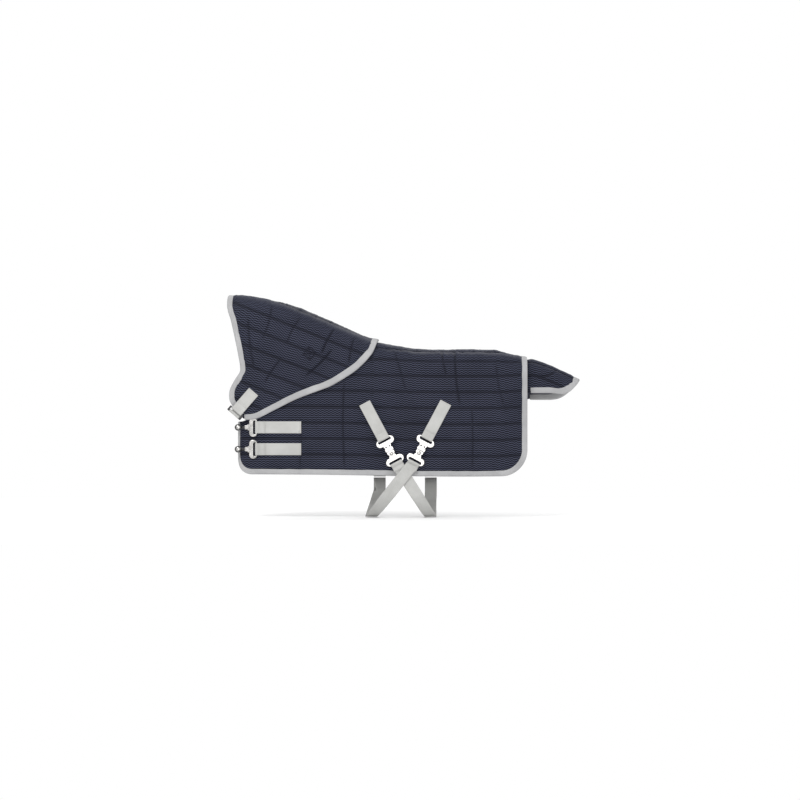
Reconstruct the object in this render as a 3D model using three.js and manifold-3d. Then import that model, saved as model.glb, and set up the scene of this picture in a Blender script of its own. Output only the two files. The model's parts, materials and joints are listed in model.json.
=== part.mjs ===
// Turnout rug for a small pony: a quilted body with an attached neck cover, a tail flap,
// two chest closures, crossed belly straps and a throat strap.
// Millimetres, +Z up. The pony faces -X and its near (left) side is -Y.
// The origin is on the underside of the spine tape, where the pony's back carries the rug.
import * as THREE from "three";
import { mergeVertices } from "three/addons/utils/BufferGeometryUtils.js";
import Module from "manifold-3d";

const wasm = await Module();
wasm.setup();

// ---- driving dimensions ----
const BODY_LENGTH = 1200; // chest edge to rump edge along the side
const BODY_DROP = 519; // spine to hem
const BACK_REST_SHARE = 0.753; // where the origin lies along the body, from the chest
const SPINE_RISE = 60; // height of the rounded top of the cross-section
const SPINE_GIRTH = 126; // cloth over that rounded top, on one side
const OUTER_CLOTH = 3;
const WADDING = 6;
const LINING = 2.4;
const LAYER_GAP = 0.3;
const SPINE_TAPE = 1.7;
const TAPE_EASE = 1.6;
const SPINE_TAPE_WIDTH = 30;
const CHEST_CURL = 45; // radius that the front edges turn in round the chest
const CHEST_CURL_ANGLE = (72 * Math.PI) / 180;
const FRONT_CORNER = 75;
const REAR_CORNER = 98;
const BINDING_WIDTH = 22; // on each face of the edge
const BINDING_CLOTH = 2;
const BINDING_EASE = 3.5; // between the binding and the cloth it folds over
const NECK_REACH = 31; // how far the poll lies ahead of the chest edge
const NECK_RISE = 183; // withers to poll
const UPPER_CHEST_ROW = 197; // heights of the chest closures over the hem
const LOWER_CHEST_ROW = 106;
const THROAT_STEP = 60; // the throat corner over that point
const NECK_LAP = 34; // how far the neck cover reaches back over the body
const LAP_GAP = 3.5;
const FLAP_LENGTH = 210;
const FLAP_DROP = 150;
const FLAP_HALF_WIDTH = 54;
const WEBBING_WIDTH = 50;
const WEBBING = 2.4;
const TAB_LENGTH = 168; // belly tab, from its top to its bar
const CHEST_WEBBING = 186;
const BAR = 4; // square bar that webbing folds round
const BAR_PLAY = 0.6;
const WEBBING_PLAY = 5; // a slot's length over the webbing's width
const BUCKLE_SIDE = 12.5; // metal at each end of a slot
const BUCKLE_LENGTH = 33;
const SLOT_DEPTH = 12;
const TONGUE_LENGTH = 26;
const TONGUE_HALF_WIDTH = 20;
const CLASP_GAP = 0.6;
const KNUCKLE_RADIUS = 14;
const STRAP_BOTTOM = 174; // how far the belly straps hang under the hem
const RING_REACH = 15; // between the two bars of the throat ring
const NECK_WEBBING = 107;

// ---- values worked out from them ----
const THICKNESS = OUTER_CLOTH + WADDING + LINING + 2 * LAYER_GAP;
const SPINE_TOP = THICKNESS + TAPE_EASE + SPINE_TAPE;
const HEM_Z = SPINE_TOP - BODY_DROP;
const CHEST_X = -BACK_REST_SHARE * BODY_LENGTH;
const RUMP_X = CHEST_X + BODY_LENGTH;
const NECK_OFFSET = THICKNESS + LAP_GAP;
const EDGE_OUT = BINDING_EASE + BINDING_CLOTH;
const EYE_INNER = (BAR / 2) * Math.SQRT2 + BAR_PLAY;
const EYE_OUTER = EYE_INNER + WEBBING;
const HALF_TURN = Math.PI / 2;
const SLOT_LENGTH = WEBBING_WIDTH + WEBBING_PLAY;
const BUCKLE_HALF_WIDTH = SLOT_LENGTH / 2 + BUCKLE_SIDE;
const TIP_HEIGHT = UPPER_CHEST_ROW + BUCKLE_HALF_WIDTH - 3; // the neck seam's lowest point over the hem

const group = new THREE.Group();

function finish(colour, roughness, metalness) {
  return new THREE.MeshStandardMaterial({ color: colour, roughness, metalness });
}
const NAVY = finish(0x232434, 0.85, 0);
const FILL = finish(0xe8e6e0, 0.95, 0);
const LINING_CLOTH = finish(0x2b2d40, 0.8, 0);
const GREY_TRIM = finish(0xbebebe, 0.8, 0);
const GREY_WEBBING = finish(0xc8c8c3, 0.75, 0);
const NICKEL = finish(0xc9c9cc, 0.3, 1);
const BLACK_PLASTIC = finish(0x17171a, 0.45, 0);

// ---- mesh helpers ----
function closedGeometry(triangles) {
  const kept = triangles.filter(
    ([a, b, c]) => a.distanceTo(b) > 0.002 && b.distanceTo(c) > 0.002 && c.distanceTo(a) > 0.002,
  );
  const volume = kept.reduce((sum, [a, b, c]) => sum + a.dot(b.clone().cross(c)), 0);
  const flat = [];
  for (const [a, b, c] of kept) {
    for (const p of volume < 0 ? [a, c, b] : [a, b, c]) flat.push(p.x, p.y, p.z);
  }
  const geometry = new THREE.BufferGeometry();
  geometry.setAttribute("position", new THREE.Float32BufferAttribute(flat, 3));
  return geometry;
}

function addQuad(list, a, b, c, d) {
  list.push([a, b, c], [a, c, d]);
}

// A sheet with thickness: upper[i][j] and lower[i][j] are matching grids of points.
function slab(upper, lower) {
  const tris = [];
  const last = upper.length - 1;
  const side = upper[0].length - 1;
  for (let i = 0; i < last; i++) {
    for (let j = 0; j < side; j++) {
      addQuad(tris, upper[i][j], upper[i + 1][j], upper[i + 1][j + 1], upper[i][j + 1]);
      addQuad(tris, lower[i][j], lower[i][j + 1], lower[i + 1][j + 1], lower[i + 1][j]);
    }
    addQuad(tris, upper[i][0], lower[i][0], lower[i + 1][0], upper[i + 1][0]);
    addQuad(tris, upper[i][side], upper[i + 1][side], lower[i + 1][side], lower[i][side]);
  }
  for (let j = 0; j < side; j++) {
    addQuad(tris, upper[0][j], upper[0][j + 1], lower[0][j + 1], lower[0][j]);
    addQuad(tris, upper[last][j], lower[last][j], lower[last][j + 1], upper[last][j + 1]);
  }
  return closedGeometry(tris);
}

function area2(a, b, c) {
  return (b[0] - a[0]) * (c[1] - a[1]) - (b[1] - a[1]) * (c[0] - a[0]);
}

// Rings of matching points joined along a path and capped. The outline is the ring in 2-D,
// counter-clockwise.
function sweep(rings, outline) {
  const tris = [];
  const count = outline.length;
  for (let i = 0; i + 1 < rings.length; i++) {
    for (let j = 0; j < count; j++) {
      const k = (j + 1) % count;
      addQuad(tris, rings[i][j], rings[i + 1][j], rings[i + 1][k], rings[i][k]);
    }
  }
  const section = outline.map(([a, b]) => new THREE.Vector2(a, b));
  const first = rings[0];
  const end = rings[rings.length - 1];
  for (const face of THREE.ShapeUtils.triangulateShape(section, [])) {
    const turn = area2(...face.map((n) => outline[n]));
    const [a, b, c] = turn < 0 ? [face[0], face[2], face[1]] : face;
    tris.push([first[a], first[b], first[c]]);
    tris.push([end[a], end[c], end[b]]);
  }
  return closedGeometry(tris);
}

function toSolid(geometry) {
  const bare = geometry.index ? geometry.toNonIndexed() : geometry.clone();
  bare.deleteAttribute("normal");
  bare.deleteAttribute("uv");
  const merged = mergeVertices(bare, 1e-3);
  return new wasm.Manifold(
    new wasm.Mesh({
      numProp: 3,
      vertProperties: merged.attributes.position.array,
      triVerts: new Uint32Array(merged.index.array),
    }),
  );
}

function toGeometry(solid) {
  const mesh = solid.getMesh();
  const geometry = new THREE.BufferGeometry();
  geometry.setAttribute("position", new THREE.BufferAttribute(mesh.vertProperties.slice(), 3));
  geometry.setIndex(new THREE.BufferAttribute(mesh.triVerts, 1));
  return geometry;
}

function joined(...geometries) {
  return toGeometry(geometries.map(toSolid).reduce((a, b) => a.add(b)));
}

function addPart(name, geometry, material) {
  const mesh = new THREE.Mesh(geometry, material);
  mesh.name = name;
  group.add(mesh);
  return mesh;
}

// A smooth function through [x, y] points that are sorted by x.
function curveThrough(points) {
  const slope = points.map((_, i) => {
    const a = points[Math.max(0, i - 1)];
    const b = points[Math.min(points.length - 1, i + 1)];
    return (b[1] - a[1]) / (b[0] - a[0]);
  });
  return (x) => {
    let i = points.findIndex((p) => p[0] > x) - 1;
    if (i === -2) i = points.length - 2;
    i = Math.max(0, i);
    const [x0, y0] = points[i];
    const [x1, y1] = points[i + 1];
    const h = x1 - x0;
    const t = THREE.MathUtils.clamp((x - x0) / h, 0, 1);
    const t2 = t * t;
    const t3 = t2 * t;
    return (
      y0 * (2 * t3 - 3 * t2 + 1) +
      h * slope[i] * (t3 - 2 * t2 + t) +
      y1 * (3 * t2 - 2 * t3) +
      h * slope[i + 1] * (t3 - t2)
    );
  };
}

// ---- the shape that the rug hangs in ----
const atBody = (share) => CHEST_X + share * BODY_LENGTH;

// Outer spine height of the body, above its level back.
const SPINE = curveThrough([
  [atBody(0.4), 46 + SPINE_TOP],
  [atBody(0.465), 36 + SPINE_TOP],
  [atBody(0.535), 20 + SPINE_TOP],
  [atBody(0.62), 4 + SPINE_TOP],
  [atBody(0.7), SPINE_TOP],
  [atBody(0.88), SPINE_TOP],
  [atBody(0.95), SPINE_TOP - 16],
  [atBody(1), SPINE_TOP - 26],
]);
// Half-width of the body's outer face, from the chest over the barrel to the rump.
const HALF_WIDTH = curveThrough([
  [atBody(-0.05), 66],
  [atBody(0.05), 70],
  [atBody(0.25), 80],
  [atBody(0.5), 95],
  [atBody(0.72), 107],
  [atBody(0.9), 98],
  [atBody(1), 88],
]);
// Hem height: level, and a little lower under the barrel.
const HEM = curveThrough([
  [atBody(0), HEM_Z + 8],
  [atBody(0.3), HEM_Z + 6],
  [atBody(0.65), HEM_Z],
  [atBody(0.9), HEM_Z],
  [atBody(1), HEM_Z + 6],
]);

// A point of the rug's cloth. Girth runs down from the spine, depth runs in from the body's
// outer face, and side is -1 on the near side and 1 on the off side.
const BODY_ARCH = { rise: SPINE_RISE, girth: SPINE_GIRTH };
function archPoint(x, top, halfWidth, girth, depth, side, arch = BODY_ARCH) {
  const turn = Math.min(Math.abs(girth) / arch.girth, 1) * HALF_TURN;
  const y = (halfWidth - depth) * Math.sin(turn);
  const below = Math.max(0, Math.abs(girth) - arch.girth);
  const z = top - depth - (arch.rise - depth) * (1 - Math.cos(turn)) - below;
  return new THREE.Vector3(x, side * y, z);
}

// Girth at a height under a spine of the given height.
function girthAt(top, z) {
  const drop = top - z;
  if (drop >= SPINE_RISE) return SPINE_GIRTH + drop - SPINE_RISE;
  return (SPINE_GIRTH * Math.acos(1 - Math.max(0, drop) / SPINE_RISE)) / HALF_TURN;
}

const CURL_LENGTH = CHEST_CURL * CHEST_CURL_ANGLE;
const CURL_START = CHEST_X + CHEST_CURL * Math.sin(CHEST_CURL_ANGLE);
const CURL_CENTRE_Y = HALF_WIDTH(CURL_START) - CHEST_CURL;
const PANEL_LENGTH = RUMP_X - CURL_START + CURL_LENGTH;
const panelX = (run) => {
  if (run >= CURL_LENGTH) return CURL_START + run - CURL_LENGTH;
  return CURL_START - CHEST_CURL * Math.sin(CHEST_CURL_ANGLE - run / CHEST_CURL);
};

// A point of a body panel. Run is the cloth length back from the front edge.
function bodyPoint(run, girth, depth, side) {
  const x = panelX(run);
  if (run >= CURL_LENGTH) return archPoint(x, SPINE(x), HALF_WIDTH(x), girth, depth, side);
  const angle = CHEST_CURL_ANGLE - run / CHEST_CURL;
  const radius = CHEST_CURL - depth;
  const flat = archPoint(x, SPINE(x), HALF_WIDTH(x), girth, depth, side);
  flat.x = CURL_START - radius * Math.sin(angle);
  flat.y = side * (CURL_CENTRE_Y + radius * Math.cos(angle));
  return flat;
}

// ---- neck cover outline, in x and girth ----
const WITHERS_X = atBody(0.485);
const NECK_LENGTH = WITHERS_X - CHEST_X + NECK_REACH;
const atNeck = (share) => WITHERS_X - share * NECK_LENGTH;
const WITHERS_Z = SPINE(WITHERS_X) + NECK_OFFSET;
const POLL_Z = WITHERS_Z + NECK_RISE;
const TIP_Z = HEM_Z + TIP_HEIGHT;
const SEAM_DROP = WITHERS_Z - TIP_Z;
const THROAT_DROP = POLL_Z - TIP_Z - THROAT_STEP;
const NECK_SHAPE = [
  [0, 0],
  [0.06, 0.045],
  [0.14, 0.15],
  [0.22, 0.27],
  [0.38, 0.5],
  [0.55, 0.735],
  [0.71, 0.89],
  [0.87, 0.975],
  [1, 1],
];
const CREST = curveThrough(
  NECK_SHAPE.map(([along, up]) => [atNeck(along), WITHERS_Z + up * NECK_RISE]).reverse(),
);
const neckHalfWidth = (x) => HALF_WIDTH(x) + NECK_OFFSET;

// The front edge runs from the poll down to the throat corner: forward shift and drop.
const FRONT_EDGE = [
  [5, 0],
  [7, 0.11],
  [-9, 0.24],
  [-25, 0.4],
  [-39, 0.55],
  [-47, 0.66],
  [-44, 0.715],
  [-25, 0.78],
  [-4, 0.87],
  [-2, 0.95],
  [-12, 1],
].map(([forward, drop]) => [atNeck(1) - forward, POLL_Z - drop * THROAT_DROP]);
// The seam runs from the withers down over the shoulder to the tip above the chest.
const SEAM = [
  [0, 0],
  [0.03, 0.125],
  [0.066, 0.226],
  [0.165, 0.4],
  [0.308, 0.563],
  [0.41, 0.638],
  [0.566, 0.75],
  [0.688, 0.862],
  [0.817, 0.98],
  [0.91, 1],
].map(([along, drop]) => [atNeck(along), WITHERS_Z - drop * SEAM_DROP]);

const inGirth = ([x, z]) => new THREE.Vector2(x, girthAt(CREST(x), z));
const seamCurve = new THREE.SplineCurve(SEAM.map(inGirth));
const frontCurve = new THREE.SplineCurve([...FRONT_EDGE, SEAM[SEAM.length - 1]].map(inGirth));
// Shares along the seam from the withers, closer where it crosses the rounded top.
const SEAM_SHARES = [0, 0.03, 0.07, 0.11, 0.16, 0.22, 0.3, 0.4, 0.51, 0.63, 0.75, 0.88, 1];
const NECK_ROWS = [0, 0.05, 0.1, 0.16, 0.24, 0.34, 0.45, 0.56, 0.67, 0.78, 0.89, 1];
const seamLine = SEAM_SHARES.map((t) => seamCurve.getPoint(t));
const frontLine = NECK_ROWS.map((v) => frontCurve.getPoint(v));

// A point of the neck's cloth: u runs from the front edge to the withers, v from crest to seam.
function neckCloth(u, v) {
  const poll = frontCurve.getPoint(0);
  const tip = frontCurve.getPoint(1);
  const withers = new THREE.Vector2(WITHERS_X, 0);
  const crest = poll.clone().lerp(withers, u);
  const ruled = crest.lerp(seamCurve.getPoint(1 - u), v);
  const across = frontCurve.getPoint(v).lerp(withers, u);
  const corners = poll.clone().lerp(tip, v).lerp(withers, u);
  return ruled.add(across).sub(corners);
}

function neckPoint(x, girth, depth, side) {
  return archPoint(x, CREST(x), neckHalfWidth(x), girth, depth, side);
}

// ---- layered panels ----
const LAYERS = [
  ["outer", 0, OUTER_CLOTH, NAVY],
  ["wadding", OUTER_CLOTH + LAYER_GAP, WADDING, FILL],
  ["lining", OUTER_CLOTH + WADDING + 2 * LAYER_GAP, LINING, LINING_CLOTH],
];
const SIDES = [
  ["near", -1],
  ["off", 1],
];
const SPINE_GAP = 0.15; // each half stops this far from the centre line

function clearOfCentre(point, side) {
  if (side * point.y < SPINE_GAP) point.y = side * SPINE_GAP;
  return point;
}

// The seam's girth over the body at x, which the body reaches under.
function seamGirth(x) {
  if (x >= WITHERS_X) return 0;
  const hit = seamLine.findIndex((p) => p.x <= x);
  if (hit === -1) return seamLine[seamLine.length - 1].y;
  const a = seamLine[hit - 1];
  const b = seamLine[hit];
  return a.y + ((b.y - a.y) * (x - a.x)) / (b.x - a.x);
}

function panelTop(run) {
  const x = panelX(run);
  const seam = seamGirth(x);
  if (seam === 0) return 0;
  const lap = NECK_LAP * THREE.MathUtils.smoothstep(x, CHEST_X + 20, CHEST_X + 140);
  const shoulder = 24 * (1 - THREE.MathUtils.smoothstep(x, CHEST_X, CHEST_X + 50));
  const z = neckPoint(x, seam, 0, 1).z + lap - 6 - shoulder;
  return z >= SPINE(x) - 1 ? 0 : girthAt(SPINE(x), z);
}

const hemGirth = (x) => SPINE_GIRTH + SPINE(x) - SPINE_RISE - HEM(x);

// Cloth runs of the body's columns and the girth where each one ends: the front and rear
// corners are rounded, so their columns are spaced round the corner.
function bodyColumns() {
  const columns = [];
  for (let k = 0; k <= 5; k++) {
    const angle = (k / 5) * HALF_TURN;
    columns.push([FRONT_CORNER * (1 - Math.cos(angle)), FRONT_CORNER * (1 - Math.sin(angle))]);
  }
  const withersRun = CURL_LENGTH + WITHERS_X - CURL_START;
  const [ahead, behind] = [withersRun - 70, withersRun + 22];
  const rearRun = PANEL_LENGTH - REAR_CORNER;
  for (let k = 1; k <= 6; k++) columns.push([THREE.MathUtils.lerp(FRONT_CORNER, ahead, k / 6), 0]);
  for (const back of [-42, -24, -12, 0]) columns.push([withersRun + back, 0]);
  for (let k = 0; k < 7; k++) columns.push([THREE.MathUtils.lerp(behind, rearRun, k / 7), 0]);
  for (let k = 4; k >= 0; k--) {
    const angle = (k / 4) * HALF_TURN;
    const back = REAR_CORNER * (1 - Math.cos(angle));
    columns.push([PANEL_LENGTH - back, REAR_CORNER * (1 - Math.sin(angle))]);
  }
  return columns;
}
const COLUMNS = bodyColumns();
const bodyEnd = ([run, lift]) => hemGirth(panelX(run)) - lift;
const ROWS = [0, 0.045, 0.09, 0.14, 0.2, 0.3, 0.46, 0.64, 0.82, 1];

function bodyGrid(depth, side) {
  return COLUMNS.map((column) => {
    const top = panelTop(column[0]);
    const end = bodyEnd(column);
    return ROWS.map((v) => clearOfCentre(bodyPoint(column[0], top + (end - top) * v, depth, side), side));
  });
}

function neckGrid(depth, side) {
  return SEAM_SHARES.map((share) =>
    NECK_ROWS.map((v) => {
      const cloth = neckCloth(1 - share, v);
      return clearOfCentre(neckPoint(cloth.x, cloth.y, depth, side), side);
    }),
  );
}

for (const [sideName, side] of SIDES) {
  for (const [layer, start, thick, material] of LAYERS) {
    const body = slab(bodyGrid(start, side), bodyGrid(start + thick, side));
    addPart("body_" + layer + "_" + sideName, body, material);
    const neck = slab(neckGrid(start, side), neckGrid(start + thick, side));
    addPart("neck_" + layer + "_" + sideName, neck, material);
  }
}

// The tape under the spine, from the withers to the rump, over the body's own columns.
function spineTape() {
  const stations = COLUMNS.map(([run]) => panelX(run)).filter(
    (x) => x > WITHERS_X + NECK_LAP && x < RUMP_X - BINDING_WIDTH,
  );
  const tapePoint = (x, across, depth) => {
    const girth = (across * SPINE_TAPE_WIDTH) / 2;
    const point = archPoint(x, SPINE(x), HALF_WIDTH(x), girth, depth, Math.sign(across));
    point.z = SPINE(x) - depth;
    return point;
  };
  const gridAt = (depth) => stations.map((x) => [-1, 0, 1].map((across) => tapePoint(x, across, depth)));
  const depth = THICKNESS + TAPE_EASE;
  return slab(gridAt(depth), gridAt(depth + SPINE_TAPE));
}
addPart("spine_tape", spineTape(), GREY_TRIM);

// ---- bindings: a channel folded over the edge, along a line in run and girth ----
const CHANNEL = [
  [-BINDING_WIDTH, -EDGE_OUT],
  [EDGE_OUT, -EDGE_OUT],
  [EDGE_OUT, THICKNESS + EDGE_OUT],
  [-BINDING_WIDTH, THICKNESS + EDGE_OUT],
  [-BINDING_WIDTH, THICKNESS + BINDING_EASE],
  [BINDING_EASE, THICKNESS + BINDING_EASE],
  [BINDING_EASE, -BINDING_EASE],
  [-BINDING_WIDTH, -BINDING_EASE],
];
// The seam's binding lies on the neck and covers its edge, with nothing against the body.
const SEAM_CHANNEL = [
  [-BINDING_WIDTH, -EDGE_OUT],
  [EDGE_OUT, -EDGE_OUT],
  [EDGE_OUT, THICKNESS],
  [BINDING_EASE, THICKNESS],
  [BINDING_EASE, -BINDING_EASE],
  [-BINDING_WIDTH, -BINDING_EASE],
];

// Directions out of the cloth at each point of an edge line, lengthened round its corners so
// that the channel keeps its distance.
function outwards(line, turn) {
  const normals = line.slice(1).map((p, i) => {
    const along = p.clone().sub(line[i]).normalize();
    return new THREE.Vector2(-along.y * turn, along.x * turn);
  });
  return line.map((_, i) => {
    const before = normals[Math.max(0, i - 1)];
    const after = normals[Math.min(normals.length - 1, i)];
    const out = before.clone().add(after).normalize();
    return out.divideScalar(Math.max(0.6, out.dot(after)));
  });
}

function binding(line, turn, place, channel = CHANNEL) {
  const out = outwards(line, turn);
  const rings = line.map((p, i) =>
    channel.map(([edge, depth]) => place(p.clone().addScaledVector(out[i], edge), depth)),
  );
  return sweep(rings, channel);
}

const onBody = (side) => (at, depth) =>
  clearOfCentre(bodyPoint(at.x, Math.max(0, at.y), depth, side), side);
const onNeck = (side) => (at, depth) =>
  clearOfCentre(neckPoint(at.x, Math.max(0, at.y), depth, side), side);

function bodyEdgeLine() {
  const line = [];
  const frontTop = panelTop(0) + 2;
  const frontEnd = bodyEnd(COLUMNS[0]);
  for (const t of [0, 0.35, 0.7]) line.push(new THREE.Vector2(0, frontTop + (frontEnd - frontTop) * t));
  COLUMNS.forEach((column) => line.push(new THREE.Vector2(column[0], bodyEnd(column))));
  const rearEnd = bodyEnd(COLUMNS[COLUMNS.length - 1]);
  for (const t of [0.8, 0.6, 0.4, 0.25, 0.16, 0.08, 0]) line.push(new THREE.Vector2(PANEL_LENGTH, rearEnd * t));
  return line;
}

for (const [sideName, side] of SIDES) {
  addPart("body_binding_" + sideName, binding(bodyEdgeLine(), 1, onBody(side)), GREY_TRIM);
}
const neckFrontLine = frontLine.slice(0, -1);
const neckSeamLine = seamLine.slice(0, -1);
for (const [sideName, side] of SIDES) {
  const front = binding(neckFrontLine, 1, onNeck(side));
  addPart("neck_front_binding_" + sideName, front, GREY_TRIM);
  const seam = binding(neckSeamLine, -1, onNeck(side), SEAM_CHANNEL);
  addPart("neck_seam_binding_" + sideName, seam, GREY_TRIM);
}

// ---- tail flap ----
const FLAP_GAP = 5; // room for the flap to turn at the rump
const FLAP_START = RUMP_X + EDGE_OUT + FLAP_GAP;
const FLAP_END = FLAP_START + FLAP_LENGTH;
const FLAP_ARCH = { rise: 46, girth: 80 };
const FLAP_ROUND = 0.62; // share of the flap's length where its end begins to round off
const flapSpine = curveThrough([
  [FLAP_START, SPINE(RUMP_X) - 12],
  [FLAP_START + 0.15 * FLAP_LENGTH, SPINE(RUMP_X) - 17],
  [FLAP_START + 0.5 * FLAP_LENGTH, SPINE(RUMP_X) - 44],
  [FLAP_END, SPINE(RUMP_X) - 92],
]);
const flapWidth = curveThrough([
  [FLAP_START, FLAP_HALF_WIDTH],
  [FLAP_END, FLAP_HALF_WIDTH - 14],
]);
function flapEdge(share) {
  const x = FLAP_START + share * FLAP_LENGTH;
  const lowest = SPINE(RUMP_X) - 12 - FLAP_DROP;
  const full = FLAP_ARCH.girth + flapSpine(x) - FLAP_ARCH.rise - lowest;
  const past = Math.max(0, (share - FLAP_ROUND) / (1 - FLAP_ROUND));
  return new THREE.Vector2(x, Math.max(20, full * Math.sqrt(Math.max(0, 1 - past * past))));
}
const FLAP_SHARES = [0, 0.16, 0.32, 0.48, 0.62, 0.74, 0.85, 0.93, 0.98, 1];
const FLAP_ACROSS = [-1, -0.75, -0.52, -0.34, -0.17, 0, 0.17, 0.34, 0.52, 0.75, 1];

function flapPoint(x, girth, depth) {
  return archPoint(x, flapSpine(x), flapWidth(x), girth, depth, Math.sign(girth), FLAP_ARCH);
}

function flapGrid(depth) {
  return FLAP_SHARES.map((share) => {
    const edge = flapEdge(share);
    return FLAP_ACROSS.map((across) => flapPoint(edge.x, edge.y * across, depth));
  });
}

function flapEdgeLine() {
  const half = FLAP_SHARES.map((share) => flapEdge(Math.max(0.05, share)));
  const mirrored = half.map((p) => new THREE.Vector2(p.x, -p.y)).reverse();
  const end = half[half.length - 1];
  return [...half, new THREE.Vector2(end.x, 0), ...mirrored];
}

for (const [layer, start, thick, material] of LAYERS) {
  addPart("tail_flap_" + layer, slab(flapGrid(start), flapGrid(start + thick)), material);
}
const onFlap = (at, depth) => flapPoint(at.x, at.y, depth);
addPart("tail_flap_binding", binding(flapEdgeLine(), 1, onFlap), GREY_TRIM);

// ---- webbing, buckles and clasps ----
// Each is made lying flat: x along the webbing, y out from the cloth and z across it, with the
// bar that the webbing folds round at x = 0.
function frameAt(origin, along, out) {
  const across = along.clone().cross(out);
  return new THREE.Matrix4().makeBasis(along, out, across).setPosition(origin);
}

function extruded(shape, width) {
  const geometry = new THREE.ExtrudeGeometry(shape, { depth: width, bevelEnabled: false, curveSegments: 6 });
  return geometry.translate(0, 0, -width / 2);
}

// A plate cut in the plane of the webbing, as thick as the bar, centred on the bar's height.
function plate(shape, height) {
  return extruded(shape, BAR).rotateX(-HALF_TURN).translate(0, height, 0);
}

function circlePath(x, y, radius) {
  const path = new THREE.Path();
  path.absarc(x, y, radius, 0, 2 * Math.PI, true);
  return path;
}

// Webbing that runs back from an eye sewn round a bar. Lift is its height over the cloth.
function webbingEye(length, lift, thickness = WEBBING) {
  const centre = lift + EYE_OUTER;
  const shape = new THREE.Shape();
  const meet = Math.PI + Math.asin((centre - lift - thickness) / EYE_OUTER);
  shape.moveTo(-length, lift);
  shape.lineTo(0, lift);
  shape.absarc(0, centre, EYE_OUTER, -HALF_TURN, meet, false);
  shape.lineTo(-length, lift + thickness);
  shape.holes.push(circlePath(0, centre, EYE_INNER));
  return extruded(shape, WEBBING_WIDTH);
}

// A buckle plate with a slot for the webbing and a tongue that reaches the other half.
function buckleShape(tongueLength, tongueHalf) {
  const start = -BAR / 2;
  const end = start + BUCKLE_LENGTH;
  const round = BUCKLE_LENGTH / 2;
  const shape = new THREE.Shape();
  shape.moveTo(start, -(BUCKLE_HALF_WIDTH - round));
  shape.absarc(start + round, -(BUCKLE_HALF_WIDTH - round), round, Math.PI, 1.5 * Math.PI, false);
  shape.absarc(start + round, -(BUCKLE_HALF_WIDTH - round), round, -HALF_TURN, 0, false);
  shape.lineTo(end, -tongueHalf);
  shape.lineTo(end + tongueLength, -tongueHalf);
  shape.lineTo(end + tongueLength, tongueHalf);
  shape.lineTo(end, tongueHalf);
  shape.absarc(start + round, BUCKLE_HALF_WIDTH - round, round, 0, HALF_TURN, false);
  shape.absarc(start + round, BUCKLE_HALF_WIDTH - round, round, HALF_TURN, Math.PI, false);
  const slot = new THREE.Path();
  slot.moveTo(BAR / 2, -SLOT_LENGTH / 2);
  slot.lineTo(BAR / 2, SLOT_LENGTH / 2);
  slot.lineTo(BAR / 2 + SLOT_DEPTH, SLOT_LENGTH / 2);
  slot.lineTo(BAR / 2 + SLOT_DEPTH, -SLOT_LENGTH / 2);
  shape.holes.push(slot);
  return shape;
}
const HALF_CLASP = BUCKLE_LENGTH - BAR / 2 + TONGUE_LENGTH;

// The clasp half on the tab: its tongue has a keyhole.
function keyholePlate(height) {
  const shape = buckleShape(TONGUE_LENGTH, TONGUE_HALF_WIDTH);
  shape.holes.push(circlePath(HALF_CLASP - TONGUE_LENGTH / 2, 0, 6));
  return plate(shape, height);
}

// The clasp half on the strap: its tongue carries a round stud.
function studPlate(height) {
  const shape = buckleShape(TONGUE_LENGTH, TONGUE_HALF_WIDTH);
  const stud = new THREE.CylinderGeometry(8, 9, 5, 16).translate(HALF_CLASP - TONGUE_LENGTH / 2, height + 4, 0);
  return joined(plate(shape, height), stud);
}

const place = (geometry, matrix) => geometry.clone().applyMatrix4(matrix);

// ---- belly clasps, on the near side ----
const BELLY_LIFT = EDGE_OUT - 1.5;
const BELLY_PLANE = -(HALF_WIDTH(atBody(0.72)) + BELLY_LIFT);
const EYE_HEIGHT = EYE_OUTER;
const CLASP_LEAN = (28 * Math.PI) / 180;
const CLASP_SPAN = 2 * HALF_CLASP + CLASP_GAP;
const BELLY = [
  { name: "front", x: atBody(0.506), z: HEM_Z + 150, lean: 1, bottom: atBody(0.669), anchor: atBody(0.671), over: 0 },
  { name: "rear", x: atBody(0.656), z: HEM_Z + 152, lean: -1, bottom: atBody(0.463), anchor: atBody(0.492), over: WEBBING + 2.6 },
];
const NEAR_OUT = new THREE.Vector3(0, -1, 0);
for (const clasp of BELLY) {
  const along = new THREE.Vector3(clasp.lean * Math.sin(CLASP_LEAN), 0, -Math.cos(CLASP_LEAN));
  const bar = new THREE.Vector3(clasp.x, BELLY_PLANE, clasp.z);
  const upper = frameAt(bar, along, NEAR_OUT);
  clasp.lowBar = bar.clone().addScaledVector(along, CLASP_SPAN);
  const lower = frameAt(clasp.lowBar, along.clone().negate(), NEAR_OUT);
  addPart("belly_tab_" + clasp.name, place(webbingEye(TAB_LENGTH, 0), upper), GREY_WEBBING);
  addPart("belly_keyhole_plate_" + clasp.name, place(keyholePlate(EYE_HEIGHT), upper), NICKEL);
  addPart("belly_stud_plate_" + clasp.name, place(studPlate(EYE_HEIGHT), lower), NICKEL);
}

// ---- belly straps: from the stud plates, crossed, under the belly to the off side ----
const OFF_PLANE = HALF_WIDTH(atBody(0.45)) - THICKNESS - EDGE_OUT - 3;
const BEND_TOP = HEM_Z - 70; // below this the straps turn under the belly
const PIVOT_Z = HEM_Z - 12;
const BEND_STEPS = 12;

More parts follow.
